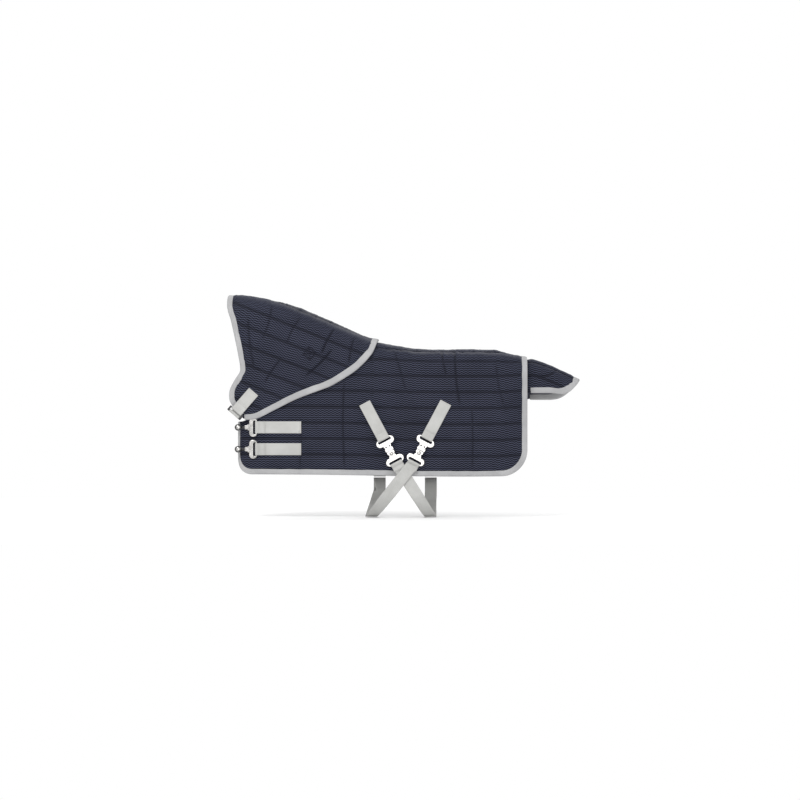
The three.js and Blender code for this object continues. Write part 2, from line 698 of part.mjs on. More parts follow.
// A flat strap swept through points that each have an outward direction.
function ribbon(points, width, thickness) {
  const outline = [
    [-width / 2, -thickness / 2],
    [width / 2, -thickness / 2],
    [width / 2, thickness / 2],
    [-width / 2, thickness / 2],
  ];
  const rings = points.map(({ at, out }, i) => {
    const before = points[Math.max(0, i - 1)].at;
    const after = points[Math.min(points.length - 1, i + 1)].at;
    const along = after.clone().sub(before).normalize();
    const across = along.clone().cross(out).normalize();
    const up = across.clone().cross(along);
    return outline.map(([a, b]) => at.clone().addScaledVector(across, a).addScaledVector(up, b));
  });
  return sweep(rings, outline);
}

function bellyRoute(clasp) {
  const nearY = clasp.lowBar.y - WEBBING / 2;
  const middleY = (nearY + OFF_PLANE) / 2;
  const halfSpan = (OFF_PLANE - nearY) / 2;
  const start = clasp.lowBar;
  const straight = (z) => {
    const share = (start.z - z) / (start.z - (HEM_Z - STRAP_BOTTOM));
    return THREE.MathUtils.lerp(start.x, clasp.bottom, share);
  };
  // Seen from the side the strap runs straight down to its lowest place and straight up again.
  const sideways = (turn) => {
    const from = turn < HALF_TURN ? straight(BEND_TOP) : clasp.anchor;
    return clasp.bottom + (from - clasp.bottom) * (1 - Math.sin(turn));
  };
  const points = [];
  for (const share of [0.04, 0.12, 0.24, 0.5, 0.75, 1]) {
    const z = THREE.MathUtils.lerp(start.z, BEND_TOP, share);
    const rise = clasp.over * THREE.MathUtils.smoothstep(share, 0.02, 0.24);
    points.push({ at: new THREE.Vector3(straight(z), nearY - rise, z), out: NEAR_OUT.clone() });
  }
  const drop = STRAP_BOTTOM - (HEM_Z - BEND_TOP);
  for (let k = 1; k <= BEND_STEPS; k++) {
    const turn = (k / BEND_STEPS) * 2 * HALF_TURN;
    const reach = halfSpan + clasp.over * (1 - k / BEND_STEPS);
    const y = middleY - reach * Math.cos(turn);
    const z = BEND_TOP - drop * Math.sin(turn);
    const out = new THREE.Vector3(0, -Math.cos(turn) * drop, -Math.sin(turn) * halfSpan).normalize();
    points.push({ at: new THREE.Vector3(sideways(turn), y, z), out });
  }
  const end = new THREE.Vector3(clasp.anchor, OFF_PLANE, PIVOT_Z - 2);
  points.push({ at: end, out: new THREE.Vector3(0, 1, 0) });
  return points;
}

// The patch that holds a strap's off-side end, from the pivot up to the lining.
function anchorPatch(clasp) {
  const lining = HALF_WIDTH(clasp.anchor) - THICKNESS - 5;
  const points = [
    { at: new THREE.Vector3(clasp.anchor, OFF_PLANE, PIVOT_Z + 2), out: new THREE.Vector3(0, 1, 0) },
    { at: new THREE.Vector3(clasp.anchor, OFF_PLANE, HEM_Z + 30), out: new THREE.Vector3(0, 1, 0) },
    { at: new THREE.Vector3(clasp.anchor, lining, HEM_Z + 70), out: new THREE.Vector3(0, 1, 0) },
    { at: new THREE.Vector3(clasp.anchor, lining, HEM_Z + 120), out: new THREE.Vector3(0, 1, 0) },
  ];
  return ribbon(points, WEBBING_WIDTH, WEBBING);
}

for (const clasp of BELLY) {
  const along = new THREE.Vector3(clasp.lean * Math.sin(CLASP_LEAN), 0, -Math.cos(CLASP_LEAN));
  const eye = place(webbingEye(14, 0), frameAt(clasp.lowBar, along.negate(), NEAR_OUT));
  const strap = joined(eye, ribbon(bellyRoute(clasp), WEBBING_WIDTH, WEBBING));
  addPart("belly_strap_" + clasp.name, strap, GREY_WEBBING);
  addPart("belly_anchor_" + clasp.name, anchorPatch(clasp), GREY_WEBBING);
}

// ---- chest closures ----
const CHEST_LIFT = 2.2;
const CHEST_BAR_X = CHEST_X + 79;
const CHEST_ROWS = [
  ["upper", HEM_Z + UPPER_CHEST_ROW],
  ["lower", HEM_Z + LOWER_CHEST_ROW],
];
const TONGUE = 3.4; // thickness of the curved tongue
const KNUCKLE_LENGTH = 9;

// A bar of even thickness along a 2-D line, as a closed outline.
function barShape(line, thickness) {
  const curve = line.map(([x, y]) => new THREE.Vector2(x, y));
  const out = outwards(curve, 1);
  const left = curve.map((p, i) => p.clone().addScaledVector(out[i], thickness / 2));
  const right = curve.map((p, i) => p.clone().addScaledVector(out[i], -thickness / 2));
  return new THREE.Shape([...left, ...right.reverse()]);
}

function chestTongue(side, plateEnd, height) {
  const line = [plateEnd];
  const radius = CHEST_CURL + EYE_HEIGHT + CHEST_LIFT;
  for (let k = 1; k <= 8; k++) {
    const turn = (k / 8) * HALF_TURN;
    line.push([CURL_START - radius * Math.sin(turn), side * (CURL_CENTRE_Y + radius * Math.cos(turn))]);
  }
  const [frontX] = line[line.length - 1];
  line.push([frontX, side * (CLASP_GAP + 4)]);
  const bar = extruded(barShape(line, TONGUE), 2 * TONGUE_HALF_WIDTH - 6).translate(0, 0, height);
  const ring = new THREE.Shape();
  ring.absarc(0, 0, KNUCKLE_RADIUS, 0, 2 * Math.PI, false);
  ring.holes.push(circlePath(0, 0, 6));
  const knuckle = new THREE.ExtrudeGeometry(ring, { depth: KNUCKLE_LENGTH, bevelEnabled: false, curveSegments: 10 });
  knuckle.rotateX(-HALF_TURN * side);
  knuckle.translate(frontX + KNUCKLE_RADIUS - 1, (side * CLASP_GAP) / 2, height);
  return joined(bar, knuckle);
}

for (const [sideName, side] of SIDES) {
  for (const [rowName, height] of CHEST_ROWS) {
    const rearX = CHEST_BAR_X + CHEST_WEBBING;
    const frontY = HALF_WIDTH(CHEST_BAR_X) + CHEST_LIFT;
    const bar = new THREE.Vector3(CHEST_BAR_X, side * frontY, height);
    const rear = new THREE.Vector3(rearX, side * (HALF_WIDTH(rearX) + CHEST_LIFT), height);
    const along = bar.clone().sub(rear).normalize();
    const out = new THREE.Vector3(along.y, -along.x, 0);
    if (out.y * side < 0) out.negate();
    const frame = frameAt(bar, along, out);
    addPart("chest_webbing_" + rowName + "_" + sideName, place(webbingEye(CHEST_WEBBING, 0), frame), GREY_WEBBING);
    const flat = place(plate(buckleShape(1, TONGUE_HALF_WIDTH - 4), EYE_HEIGHT), frame);
    const end = new THREE.Vector3(BUCKLE_LENGTH - BAR, EYE_HEIGHT, 0).applyMatrix4(frame);
    const clasp = joined(flat, chestTongue(side, [end.x, end.y], height));
    addPart("chest_clasp_" + rowName + "_" + sideName, clasp, NICKEL);
  }
}

// ---- throat closure ----
const THROAT_LEAN = (41 * Math.PI) / 180;
const THROAT_BAR_X = CHEST_X - 2.6;
const THROAT_TOP_X = THROAT_BAR_X + NECK_WEBBING * Math.sin(THROAT_LEAN);
const THROAT_PLANE = neckHalfWidth(THROAT_TOP_X) + EDGE_OUT + 0.8;
const throatBar = new THREE.Vector3(THROAT_BAR_X, -THROAT_PLANE, TIP_Z + 30.5);
const throatAlong = new THREE.Vector3(-Math.sin(THROAT_LEAN), 0, -Math.cos(THROAT_LEAN));
const throatFrame = frameAt(throatBar, throatAlong, NEAR_OUT);
const RING_HALF_WIDTH = SLOT_LENGTH / 2 + 7.5;

function throatRing() {
  const shape = new THREE.Shape();
  const end = RING_REACH + BAR / 2;
  shape.moveTo(-BAR / 2, -RING_HALF_WIDTH);
  shape.lineTo(end, -RING_HALF_WIDTH);
  shape.lineTo(end, RING_HALF_WIDTH);
  shape.lineTo(-BAR / 2, RING_HALF_WIDTH);
  const opening = new THREE.Path();
  const half = SLOT_LENGTH / 2;
  opening.moveTo(BAR / 2, -half);
  opening.lineTo(BAR / 2, half);
  opening.lineTo(RING_REACH - BAR / 2, half);
  opening.lineTo(RING_REACH - BAR / 2, -half);
  shape.holes.push(opening);
  return plate(shape, EYE_HEIGHT);
}

// The strap that leaves the ring, crosses under the throat and lies on the off side.
function throatStrap() {
  const offPlane = -2 * THROAT_PLANE - WEBBING / 2;
  const runX = RING_REACH + EYE_OUTER - WEBBING / 2;
  const corner = 16;
  const line = [[runX, EYE_HEIGHT]];
  for (let k = 0; k <= 4; k++) {
    const turn = (k / 4) * HALF_TURN;
    line.push([runX - corner * (1 - Math.cos(turn)), offPlane + corner * (1 - Math.sin(turn))]);
  }
  line.push([-NECK_WEBBING, offPlane]);
  const ring = new THREE.Shape();
  ring.absarc(RING_REACH, EYE_HEIGHT, EYE_OUTER, 0, 2 * Math.PI, false);
  ring.holes.push(circlePath(RING_REACH, EYE_HEIGHT, EYE_INNER));
  return joined(extruded(ring, WEBBING_WIDTH), extruded(barShape(line, WEBBING), WEBBING_WIDTH));
}

addPart("throat_webbing_near", place(webbingEye(NECK_WEBBING, 0), throatFrame), GREY_WEBBING);
addPart("throat_ring", place(throatRing(), throatFrame), BLACK_PLASTIC);
addPart("throat_strap", place(throatStrap(), throatFrame), GREY_WEBBING);

export default group;
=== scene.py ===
# %% [markdown]
# # A turnout rug for a small pony
# A turnout rug is a quilted coat for a pony. This one has a body, a neck cover sewn on at the
# withers, a small tail flap, two clips at the chest, two straps that cross under the belly and
# one strap under the throat. The rigid frame of it comes from a CAD model that also moves in
# a physics model. Here that frame gets its looks: padded cloth, bindings, webbing and metal.
# Everything is made in the CAD's own frame, so the first step loads it and keeps its box.
# %% Load the frame
import json
import math
import bpy
import numpy as np
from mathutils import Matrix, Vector


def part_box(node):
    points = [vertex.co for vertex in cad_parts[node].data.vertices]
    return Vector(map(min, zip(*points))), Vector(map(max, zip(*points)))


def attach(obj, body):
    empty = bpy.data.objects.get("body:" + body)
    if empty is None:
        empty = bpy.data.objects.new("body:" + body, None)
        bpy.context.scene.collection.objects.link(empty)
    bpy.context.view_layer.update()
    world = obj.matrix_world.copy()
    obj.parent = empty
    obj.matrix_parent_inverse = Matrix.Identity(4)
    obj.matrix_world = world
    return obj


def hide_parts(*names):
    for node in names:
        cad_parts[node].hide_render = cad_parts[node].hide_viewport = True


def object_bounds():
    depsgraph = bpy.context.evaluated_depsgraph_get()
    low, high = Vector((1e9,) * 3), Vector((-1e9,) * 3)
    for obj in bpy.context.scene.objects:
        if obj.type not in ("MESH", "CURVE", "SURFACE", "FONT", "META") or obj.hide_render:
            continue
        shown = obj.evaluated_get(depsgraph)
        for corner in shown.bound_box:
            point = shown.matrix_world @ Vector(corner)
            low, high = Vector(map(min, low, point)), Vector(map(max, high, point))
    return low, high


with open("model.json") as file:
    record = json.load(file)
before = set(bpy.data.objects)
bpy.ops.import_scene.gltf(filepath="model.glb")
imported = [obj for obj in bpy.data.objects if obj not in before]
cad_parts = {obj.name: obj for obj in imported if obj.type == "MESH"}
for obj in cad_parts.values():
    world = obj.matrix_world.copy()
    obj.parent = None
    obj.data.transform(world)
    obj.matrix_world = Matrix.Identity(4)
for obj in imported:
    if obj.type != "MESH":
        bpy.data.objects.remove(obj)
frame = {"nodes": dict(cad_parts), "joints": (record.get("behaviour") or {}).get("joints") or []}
cad_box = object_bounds()
MM = 0.001
JOINTS = {joint["name"]: joint for joint in frame["joints"]}
print("CAD nodes:", len(frame["nodes"]), "box:", cad_box)

# %% [markdown]
# The sizes that drive the cloth are read from the CAD pieces, in millimetres. The chest and
# rump edges and the hem are the near outer panel's own limits. The rug lies over a rounded
# top, so a place on it is given by its run back from the chest, its girth down from the spine
# and its depth into the cloth.
# %% Driving sizes
panel_low, panel_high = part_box("body_outer_near")
CHEST_X = panel_low.x / MM
RUMP_X = panel_high.x / MM
HEM_Z = panel_low.z / MM
BODY_LENGTH = RUMP_X - CHEST_X
THICKNESS = 12.0
SPINE_TOP = THICKNESS + 3.3
SPINE_RISE = 60.0
SPINE_GIRTH = 126.0
CHEST_CURL = 45.0
CURL_ANGLE = math.radians(72)
FRONT_CORNER = 75.0
REAR_CORNER = 98.0
NECK_OFFSET = THICKNESS + 3.5
BINDING_WIDTH = 17.0
BINDING_OUT = 5.6
WEBBING_WIDTH = 50.0
WEBBING = 2.4
EYE_INNER = 3.43
EYE_HEIGHT = EYE_INNER + WEBBING
print(f"chest {CHEST_X:.1f}, rump {RUMP_X:.1f}, hem {HEM_Z:.1f} mm")

# %% [markdown]
# The back line, the width and the hem are smooth curves through a few points each. A cubic
# Hermite curve is enough: it passes through its points, and its slope at a point is that of
# the line between the two neighbours, so it doesn't swing past them as a free spline might.
# %% Curves through a few points
def curve_through(points):
    xs = np.array([p[0] for p in points], float)
    ys = np.array([p[1] for p in points], float)
    before = np.maximum(np.arange(len(xs)) - 1, 0)
    after = np.minimum(np.arange(len(xs)) + 1, len(xs) - 1)
    slopes = (ys[after] - ys[before]) / (xs[after] - xs[before])

    def value(x):
        x = np.clip(x, xs[0], xs[-1])
        i = np.clip(np.searchsorted(xs, x, side="right") - 1, 0, len(xs) - 2)
        h = xs[i + 1] - xs[i]
        t = (x - xs[i]) / h
        rise = ys[i] * (2 * t**3 - 3 * t**2 + 1) + ys[i + 1] * (3 * t**2 - 2 * t**3)
        return rise + h * slopes[i] * (t**3 - 2 * t**2 + t) + h * slopes[i + 1] * (t**3 - t**2)

    return value


def at_body(share):
    return CHEST_X + share * BODY_LENGTH


def smoothstep(low, high, value):
    t = np.clip((value - low) / (high - low), 0, 1)
    return t * t * (3 - 2 * t)


spine = curve_through([
    (at_body(0.4), SPINE_TOP + 46),
    (at_body(0.465), SPINE_TOP + 36),
    (at_body(0.535), SPINE_TOP + 20),
    (at_body(0.62), SPINE_TOP + 4),
    (at_body(0.7), SPINE_TOP),
    (at_body(0.88), SPINE_TOP),
    (at_body(0.95), SPINE_TOP - 16),
    (at_body(1), SPINE_TOP - 26),
])
half_width = curve_through([
    (at_body(-0.05), 66),
    (at_body(0.05), 70),
    (at_body(0.25), 80),
    (at_body(0.5), 95),
    (at_body(0.72), 107),
    (at_body(0.9), 98),
    (at_body(1), 88),
])
hem = curve_through([
    (at_body(0), HEM_Z + 8),
    (at_body(0.3), HEM_Z + 6),
    (at_body(0.65), HEM_Z),
    (at_body(0.9), HEM_Z),
    (at_body(1), HEM_Z + 6),
])
print("withers top", round(float(spine(at_body(0.485))), 1), "mm")

# %% [markdown]
# Cloth over a rounded top follows a quarter of an ellipse and then hangs straight down. At
# the chest the two front edges also turn in towards each other round the pony's breast.
# %% Places on the cloth
def arch_point(x, top, half, girth, depth, side, rise=SPINE_RISE, arch=SPINE_GIRTH):
    turn = np.minimum(np.abs(girth) / arch, 1) * math.pi / 2
    y = (half - depth) * np.sin(turn)
    below = np.maximum(0, np.abs(girth) - arch)
    z = top - depth - (rise - depth) * (1 - np.cos(turn)) - below
    return np.stack(np.broadcast_arrays(x, side * y, z), axis=-1)


def girth_at(top, z):
    drop = np.maximum(0, top - z)
    arc = SPINE_GIRTH * np.arccos(np.clip(1 - drop / SPINE_RISE, -1, 1)) / (math.pi / 2)
    return np.where(drop >= SPINE_RISE, SPINE_GIRTH + drop - SPINE_RISE, arc)


CURL_LENGTH = CHEST_CURL * CURL_ANGLE
CURL_START = CHEST_X + CHEST_CURL * math.sin(CURL_ANGLE)
CURL_CENTRE = float(half_width(CURL_START)) - CHEST_CURL
PANEL_LENGTH = RUMP_X - CURL_START + CURL_LENGTH


def panel_x(run):
    curled = CURL_START - CHEST_CURL * np.sin(CURL_ANGLE - run / CHEST_CURL)
    return np.where(run >= CURL_LENGTH, CURL_START + run - CURL_LENGTH, curled)


def body_point(run, girth, depth, side):
    run, girth, depth = np.broadcast_arrays(run, girth, depth)
    x = panel_x(run)
    place = arch_point(x, spine(x), half_width(x), girth, depth, side)
    angle = CURL_ANGLE - run / CHEST_CURL
    radius = CHEST_CURL - depth
    curled = run < CURL_LENGTH
    place[..., 0] = np.where(curled, CURL_START - radius * np.sin(angle), place[..., 0])
    turned = side * (CURL_CENTRE + radius * np.cos(angle))
    place[..., 1] = np.where(curled, turned, place[..., 1])
    return place


def hem_girth(x):
    return SPINE_GIRTH + spine(x) - SPINE_RISE - hem(x)


print(f"a side panel is {PANEL_LENGTH:.0f} mm of cloth from chest edge to rump edge")

# %% [markdown]
# The neck cover is cut to its own outline: the crest from the withers up to the poll, the
# front edge down to the throat, and the seam back over the shoulder. A patch between three
# curved edges can be filled by blending them, which is called a Coons patch.
# %% The neck cover's outline
TIP_HEIGHT = 234.0
WITHERS_X = at_body(0.485)
NECK_REACH = 31.0
NECK_LENGTH = WITHERS_X - CHEST_X + NECK_REACH
WITHERS_Z = float(spine(WITHERS_X)) + NECK_OFFSET
POLL_Z = WITHERS_Z + 183
SEAM_DROP = WITHERS_Z - HEM_Z - TIP_HEIGHT
THROAT_DROP = POLL_Z - HEM_Z - TIP_HEIGHT - 60


def at_neck(share):
    return WITHERS_X - share * NECK_LENGTH


crest_shares = [
    (0, 0), (0.06, 0.045), (0.14, 0.15), (0.22, 0.27), (0.38, 0.5),
    (0.55, 0.735), (0.71, 0.89), (0.87, 0.975), (1, 1),
]
crest = curve_through([(at_neck(a), WITHERS_Z + up * 183) for a, up in reversed(crest_shares)])
front_places = [
    (5, 0), (7, 0.11), (-9, 0.24), (-25, 0.4), (-39, 0.55), (-47, 0.66),
    (-44, 0.715), (-25, 0.78), (-4, 0.87), (-2, 0.95), (-12, 1),
]
seam_shares = [
    (0, 0), (0.03, 0.125), (0.066, 0.226), (0.165, 0.4), (0.308, 0.563),
    (0.41, 0.638), (0.566, 0.75), (0.688, 0.862), (0.817, 0.98), (0.91, 1),
]
front_edge = [(at_neck(1) - ahead, POLL_Z - drop * THROAT_DROP) for ahead, drop in front_places]
seam_edge = [(at_neck(a), WITHERS_Z - drop * SEAM_DROP) for a, drop in seam_shares]


def smooth_line(points):
    pts = np.array([(x, float(girth_at(crest(x), z))) for x, z in points])
    count = len(pts)

    def value(t):
        place = np.asarray(t, float) * (count - 1)
        i = np.clip(np.floor(place).astype(int), 0, count - 2)
        w = (place - i)[..., None]
        p0 = pts[np.maximum(i - 1, 0)]
        p1 = pts[i]
        p2 = pts[i + 1]
        p3 = pts[np.minimum(i + 2, count - 1)]
        v0 = (p2 - p0) / 2
        v1 = (p3 - p1) / 2
        cubic = (2 * p1 - 2 * p2 + v0 + v1) * w**3
        return cubic + (3 * p2 - 3 * p1 - 2 * v0 - v1) * w**2 + v0 * w + p1

    return value


seam_line = smooth_line(seam_edge)
front_line = smooth_line(front_edge + [seam_edge[-1]])


def neck_cloth(u, v):
    poll, tip, withers = front_line(0.0), front_line(1.0), np.array([WITHERS_X, 0.0])
    u = np.asarray(u, float)[..., None]
    w = np.asarray(v, float)[..., None]
    ruled = (poll + (withers - poll) * u) * (1 - w) + seam_line(1 - u[..., 0]) * w
    across = front_line(v) * (1 - u) + withers * u
    corners = (poll * (1 - w) + tip * w) * (1 - u) + withers * u
    return ruled + across - corners


def neck_point(x, girth, depth, side):
    return arch_point(x, crest(x), half_width(x) + NECK_OFFSET, girth, depth, side)


def panel_top(run):
    x = panel_x(run)
    steps = seam_line(np.linspace(0, 1, 80))[::-1]
    seam = np.interp(x, steps[:, 0], steps[:, 1])
    lap = 34 * smoothstep(CHEST_X + 20, CHEST_X + 140, x)
    shoulder = 8 * (1 - smoothstep(CHEST_X, CHEST_X + 50, x))
    z = neck_point(x, seam, 0, 1)[..., 2] + lap - 6 - shoulder
    under = np.where(z >= spine(x) - 1, 0, girth_at(spine(x), z))
    return np.where(x >= WITHERS_X, 0, under)


print(f"neck seam {np.linalg.norm(np.diff(seam_line(np.linspace(0, 1, 60)), axis=0), axis=1).sum():.0f} mm")

# %% [markdown]
# Finishes on this rug are woven cloth, ribbed webbing, plated metal and plastic. Each is a
# small piece of shader arithmetic. A thin class lets that be written as Python expressions:
# it wraps one socket, and each operator adds the Math node that does it.
# %% Shader arithmetic
FULL_TURN = 6.2832


class Wire:
    def __init__(self, paint, socket):
        self.paint = paint
        self.socket = socket

    def math(self, operation, *others):
        return self.paint.node("ShaderNodeMath", {"operation": operation}, [self, *others])

    def __add__(self, other):
        return self.math("ADD", other)

    __radd__ = __add__

    def __mul__(self, other):
        return self.math("MULTIPLY", other)

    __rmul__ = __mul__

    def __sub__(self, other):
        return self.math("SUBTRACT", other)

    def __rsub__(self, other):
        return self.paint.node("ShaderNodeMath", {"operation": "SUBTRACT"}, [other, self])

    def __truediv__(self, other):
        return self.math("DIVIDE", other)

    def sine(self):
        return self.math("SINE")

    def absolute(self):
        return self.math("ABSOLUTE")

    def fraction(self):
        return self.math("FRACT")

    def step(self, low, high):
        node = {"interpolation_type": "SMOOTHSTEP"}
        return self.paint.node("ShaderNodeMapRange", node, {"Value": self, "From Min": low, "From Max": high})

    def wave(self):
        return self.fraction() * 2 - 1


class Paint:
    def __init__(self, name):
        self.material = bpy.data.materials.new(name)
        self.material.use_nodes = True
        self.tree = self.material.node_tree
        self.shader = self.tree.nodes["Principled BSDF"]

    def put(self, socket, value):
        if isinstance(value, Wire):
            self.tree.links.new(value.socket, socket)
        elif hasattr(value, "__len__") and len(value) == 3 and socket.type == "RGBA":
            socket.default_value = (*value, 1)
        else:
            socket.default_value = value

    def node(self, kind, settings, sockets, output=0):
        made = self.tree.nodes.new(kind)
        for key, value in settings.items():
            if key == "stops":
                for element, (place, colour) in zip(made.color_ramp.elements, value):
                    element.position = place
                    element.color = (*colour, 1)
            else:
                setattr(made, key, value)
        pairs = enumerate(sockets) if isinstance(sockets, list) else sockets.items()
        for key, value in pairs:
            self.put(made.inputs[key], value)
        return Wire(self, made.outputs[output])

    def mix(self, factor, first, second):
        settings = {"data_type": "RGBA"}
        made = {0: factor, 6: first, 7: second}
        return self.node("ShaderNodeMix", settings, made, output=2)

    def noise(self, vector, scale, detail=2.0):
        sockets = {"Vector": vector, "Scale": scale, "Detail": detail}
        return self.node("ShaderNodeTexNoise", {}, sockets)

    def cloth(self):
        return self.node("ShaderNodeAttribute", {"attribute_name": "cloth"}, {}, output=1)

    def parts(self, vector):
        made = self.tree.nodes.new("ShaderNodeSeparateXYZ")
        self.put(made.inputs[0], vector)
        return [Wire(self, made.outputs[k]) for k in range(3)]

    def object_space(self):
        return self.node("ShaderNodeTexCoord", {}, {}, output=3)

    def finish(self, **values):
        for key, value in values.items():
            self.put(self.shader.inputs[key.replace("_", " ")], value)
        return self.material

    def bump(self, height, distance, strength=1.0):
        sockets = {"Height": height, "Distance": distance, "Strength": strength}
        self.put(self.shader.inputs["Normal"], self.node("ShaderNodeBump", {}, sockets))


print("shader arithmetic ready")

# %% [markdown]
# The outer cloth is a navy polyester with a woven chevron: rows of small zigzags, each row a
# band of raised threads. The raised threads are coloured a lit navy and the rest a dark one, a
# painted sheen and painted shade on the one cloth. The pattern is worked out from each point's
# place on the cloth, stored on the mesh as "cloth", so it follows the fabric round every puff
# and fold. A zigzag is the distance along one way pushed by a triangle wave of the other. The
# third number is how far the nearest stitch line or crease is: near them the colour is darkened,
# a painted shade in the valleys.
# %% Navy chevron cloth
def chevron(paint, pitch, row, reach):
    along, down, hollow = paint.parts(paint.cloth())
    zigzag = (along / pitch).fraction() - 0.5
    level = down + zigzag.absolute() * (2 * reach)
    return (level / row).fraction(), along, down, hollow


def navy_quilt():
    paint = Paint("navy_quilt")
    band, along, down, hollow = chevron(paint, 0.0175, 0.0092, 0.0050)
    ridge = 1 - (band * 2 - 1).absolute()
    raised = ridge.step(0.38, 0.9)
    thread = (along * (FULL_TURN / 0.0009)).sine() * 0.5 + (down * (FULL_TURN / 0.0011)).sine() * 0.5
    place = paint.object_space()
    patches = paint.noise(place, 7.0, 3.0)
    fibres = paint.noise(place, 420.0, 2.0)
    # The dark and lit navies are one cloth with painted shade and a painted sheen: the raised threads take
    # the lit one.
    dark = paint.mix(patches, (0.0006, 0.0007, 0.0030), (0.0014, 0.0016, 0.0060))
    lit = paint.mix(patches, (0.042, 0.048, 0.078), (0.082, 0.090, 0.140))
    # Lighter fibre flecks on the painted sheen of the raised threads.
    painted_sheen_flecked = paint.mix(fibres.step(0.55, 0.8) * 0.25, lit, (0.160, 0.168, 0.225))
    woven = paint.mix(raised * 0.85, dark, painted_sheen_flecked)
    # Painted shade: near stitch lines and creases the colour is darkened towards a deep navy.
    painted_valley_shade = 1 - hollow.step(0.0002, 0.0125)
    colour = paint.mix(painted_valley_shade * 0.66, woven, (0.0012, 0.0013, 0.0040))
    paint.bump(raised * 1.0 + thread * 0.12 + fibres * 0.3, 0.00045, 0.9)
    rough = 0.62 - raised * 0.12 + patches * 0.1
    return paint.finish(Base_Color=colour, Roughness=rough, Sheen_Weight=0.04, Sheen_Roughness=0.4,
                        Sheen_Tint=(0.5, 0.55, 0.9, 1), Specular_IOR_Level=0.12)


NAVY = navy_quilt()
print("made", NAVY.name)

# %% [markdown]
# The lining inside is a smooth, thin navy polyester with a faint shine and its own fine
# cross-weave. It shows only from below and inside.
# %% Lining cloth
def lining_cloth():
    paint = Paint("lining")
    along, down, _ = paint.parts(paint.cloth())
    weave = (along * (FULL_TURN / 0.0016)).sine() * (down * (FULL_TURN / 0.0016)).sine()
    cloudy = paint.noise(paint.object_space(), 9.0, 3.0)
    colour = paint.mix(cloudy, (0.020, 0.022, 0.042), (0.036, 0.039, 0.070))
    paint.bump(weave * 0.5 + cloudy, 0.0004, 0.6)
    return paint.finish(Base_Color=colour, Roughness=0.42 + cloudy * 0.16, Sheen_Weight=0.03)


LINING = lining_cloth()
print("made", LINING.name)

# %% [markdown]
# The binding is a flat grey braid folded over the cut edge. Its cloth place runs along the
# braid in one way and across it in the other, so a fine diagonal twill and a fainter one across
# it come from the same two numbers.
# %% Grey binding
def grey_binding():
    paint = Paint("grey_binding")
    along, across, _ = paint.parts(paint.cloth())
    twill = ((along + across * 0.8) * (FULL_TURN / 0.0021)).sine()
    counter = ((along * 0.4 - across) * (FULL_TURN / 0.0016)).sine()
    place = paint.object_space()
    soiled = paint.noise(place, 13.0, 4.0)
    speckle = paint.noise(place, 600.0, 1.0)
    colour = paint.mix(soiled.step(0.3, 0.75), (0.33, 0.33, 0.335), (0.41, 0.41, 0.415))
    shaded = paint.mix((twill * 0.5 + 0.5) * 0.28 + speckle * 0.14, colour, (0.19, 0.19, 0.20))
    paint.bump(twill * 0.6 + counter * 0.3 + speckle * 0.5, 0.00035, 0.8)
    return paint.finish(Base_Color=shaded, Roughness=0.74 + soiled * 0.14, Sheen_Weight=0.03)


BINDING = grey_binding()
print("made", BINDING.name)

# %% [markdown]
# Webbing is a thick flat weave with ribs across its width, finer warp lines along it and
# slightly darker edges. The ribs catch the light as a row of tiny rounded bars, and the grooves
# between ribs and warp lines are painted darker, a painted shade.
# %% Grey webbing
def grey_webbing():
    paint = Paint("grey_webbing")
    along, across, _ = paint.parts(paint.cloth())
    rib = (along * (FULL_TURN / 0.0024)).sine() * 0.5 + 0.5
    warp = (across * (FULL_TURN / 0.0031)).sine() * 0.5 + 0.5
    basket = rib * 0.65 + warp * 0.35
    place = paint.object_space()
    soiled = paint.noise(place, 16.0, 4.0)
    fibre = paint.noise(place, 700.0, 1.0)
    edge = (across.absolute() / (WEBBING_WIDTH * 0.5 * MM)).step(0.86, 0.98)
    colour = paint.mix(soiled.step(0.25, 0.8), (0.41, 0.41, 0.395), (0.50, 0.50, 0.485))
    # Painted shade: the grooves between the ribs and warp lines are darkened.
    ribbed = paint.mix((1 - basket) * 0.42 + fibre * 0.12, colour, (0.19, 0.19, 0.185))
    ribbed = paint.mix(edge * 0.25, ribbed, (0.25, 0.25, 0.245))
    paint.bump(basket * 1.0 + fibre * 0.35, 0.00055, 0.9)
    return paint.finish(Base_Color=ribbed, Roughness=0.68 + soiled * 0.16, Sheen_Weight=0.03)


WEB = grey_webbing()
print("made", WEB.name)

# %% [markdown]
# The fittings are nickel-plated steel: bright, with fine rubbing marks and slightly cloudy
# patches where hands have touched them. The chest tongues and knuckles are given a darker
# nickel, a painted dark reflection. The throat ring is moulded black plastic with a pebbled
# grain. The thread is a thick polyester.
# %% Metal, plastic and thread
def nickel_plate(name, dull, bright):
    paint = Paint(name)
    place = paint.object_space()
    cloudy = paint.noise(place, 38.0, 4.0)
    stretched = paint.node("ShaderNodeVectorMath", {"operation": "MULTIPLY"}, [place, (90, 90, 1300)])
    rubbed = paint.node("ShaderNodeTexNoise", {}, {"Vector": stretched, "Scale": 1.0, "Detail": 3.0})
    colour = paint.mix(cloudy.step(0.3, 0.8), dull, bright)
    paint.bump(rubbed * 0.6 + cloudy, 0.00012, 0.6)
    rough = 0.16 + cloudy * 0.16 + rubbed.step(0.55, 0.85) * 0.14
    return paint.finish(Base_Color=colour, Roughness=rough, Metallic=1.0)


def black_plastic():
    paint = Paint("black_plastic")
    place = paint.object_space()
    grain = paint.noise(place, 950.0, 2.0)
    cloudy = paint.noise(place, 30.0, 3.0)
    colour = paint.mix(cloudy, (0.010, 0.010, 0.011), (0.022, 0.022, 0.024))
    paint.bump(grain, 0.00025, 0.7)
    return paint.finish(Base_Color=colour, Roughness=0.34 + grain * 0.16, Specular_IOR_Level=0.5)


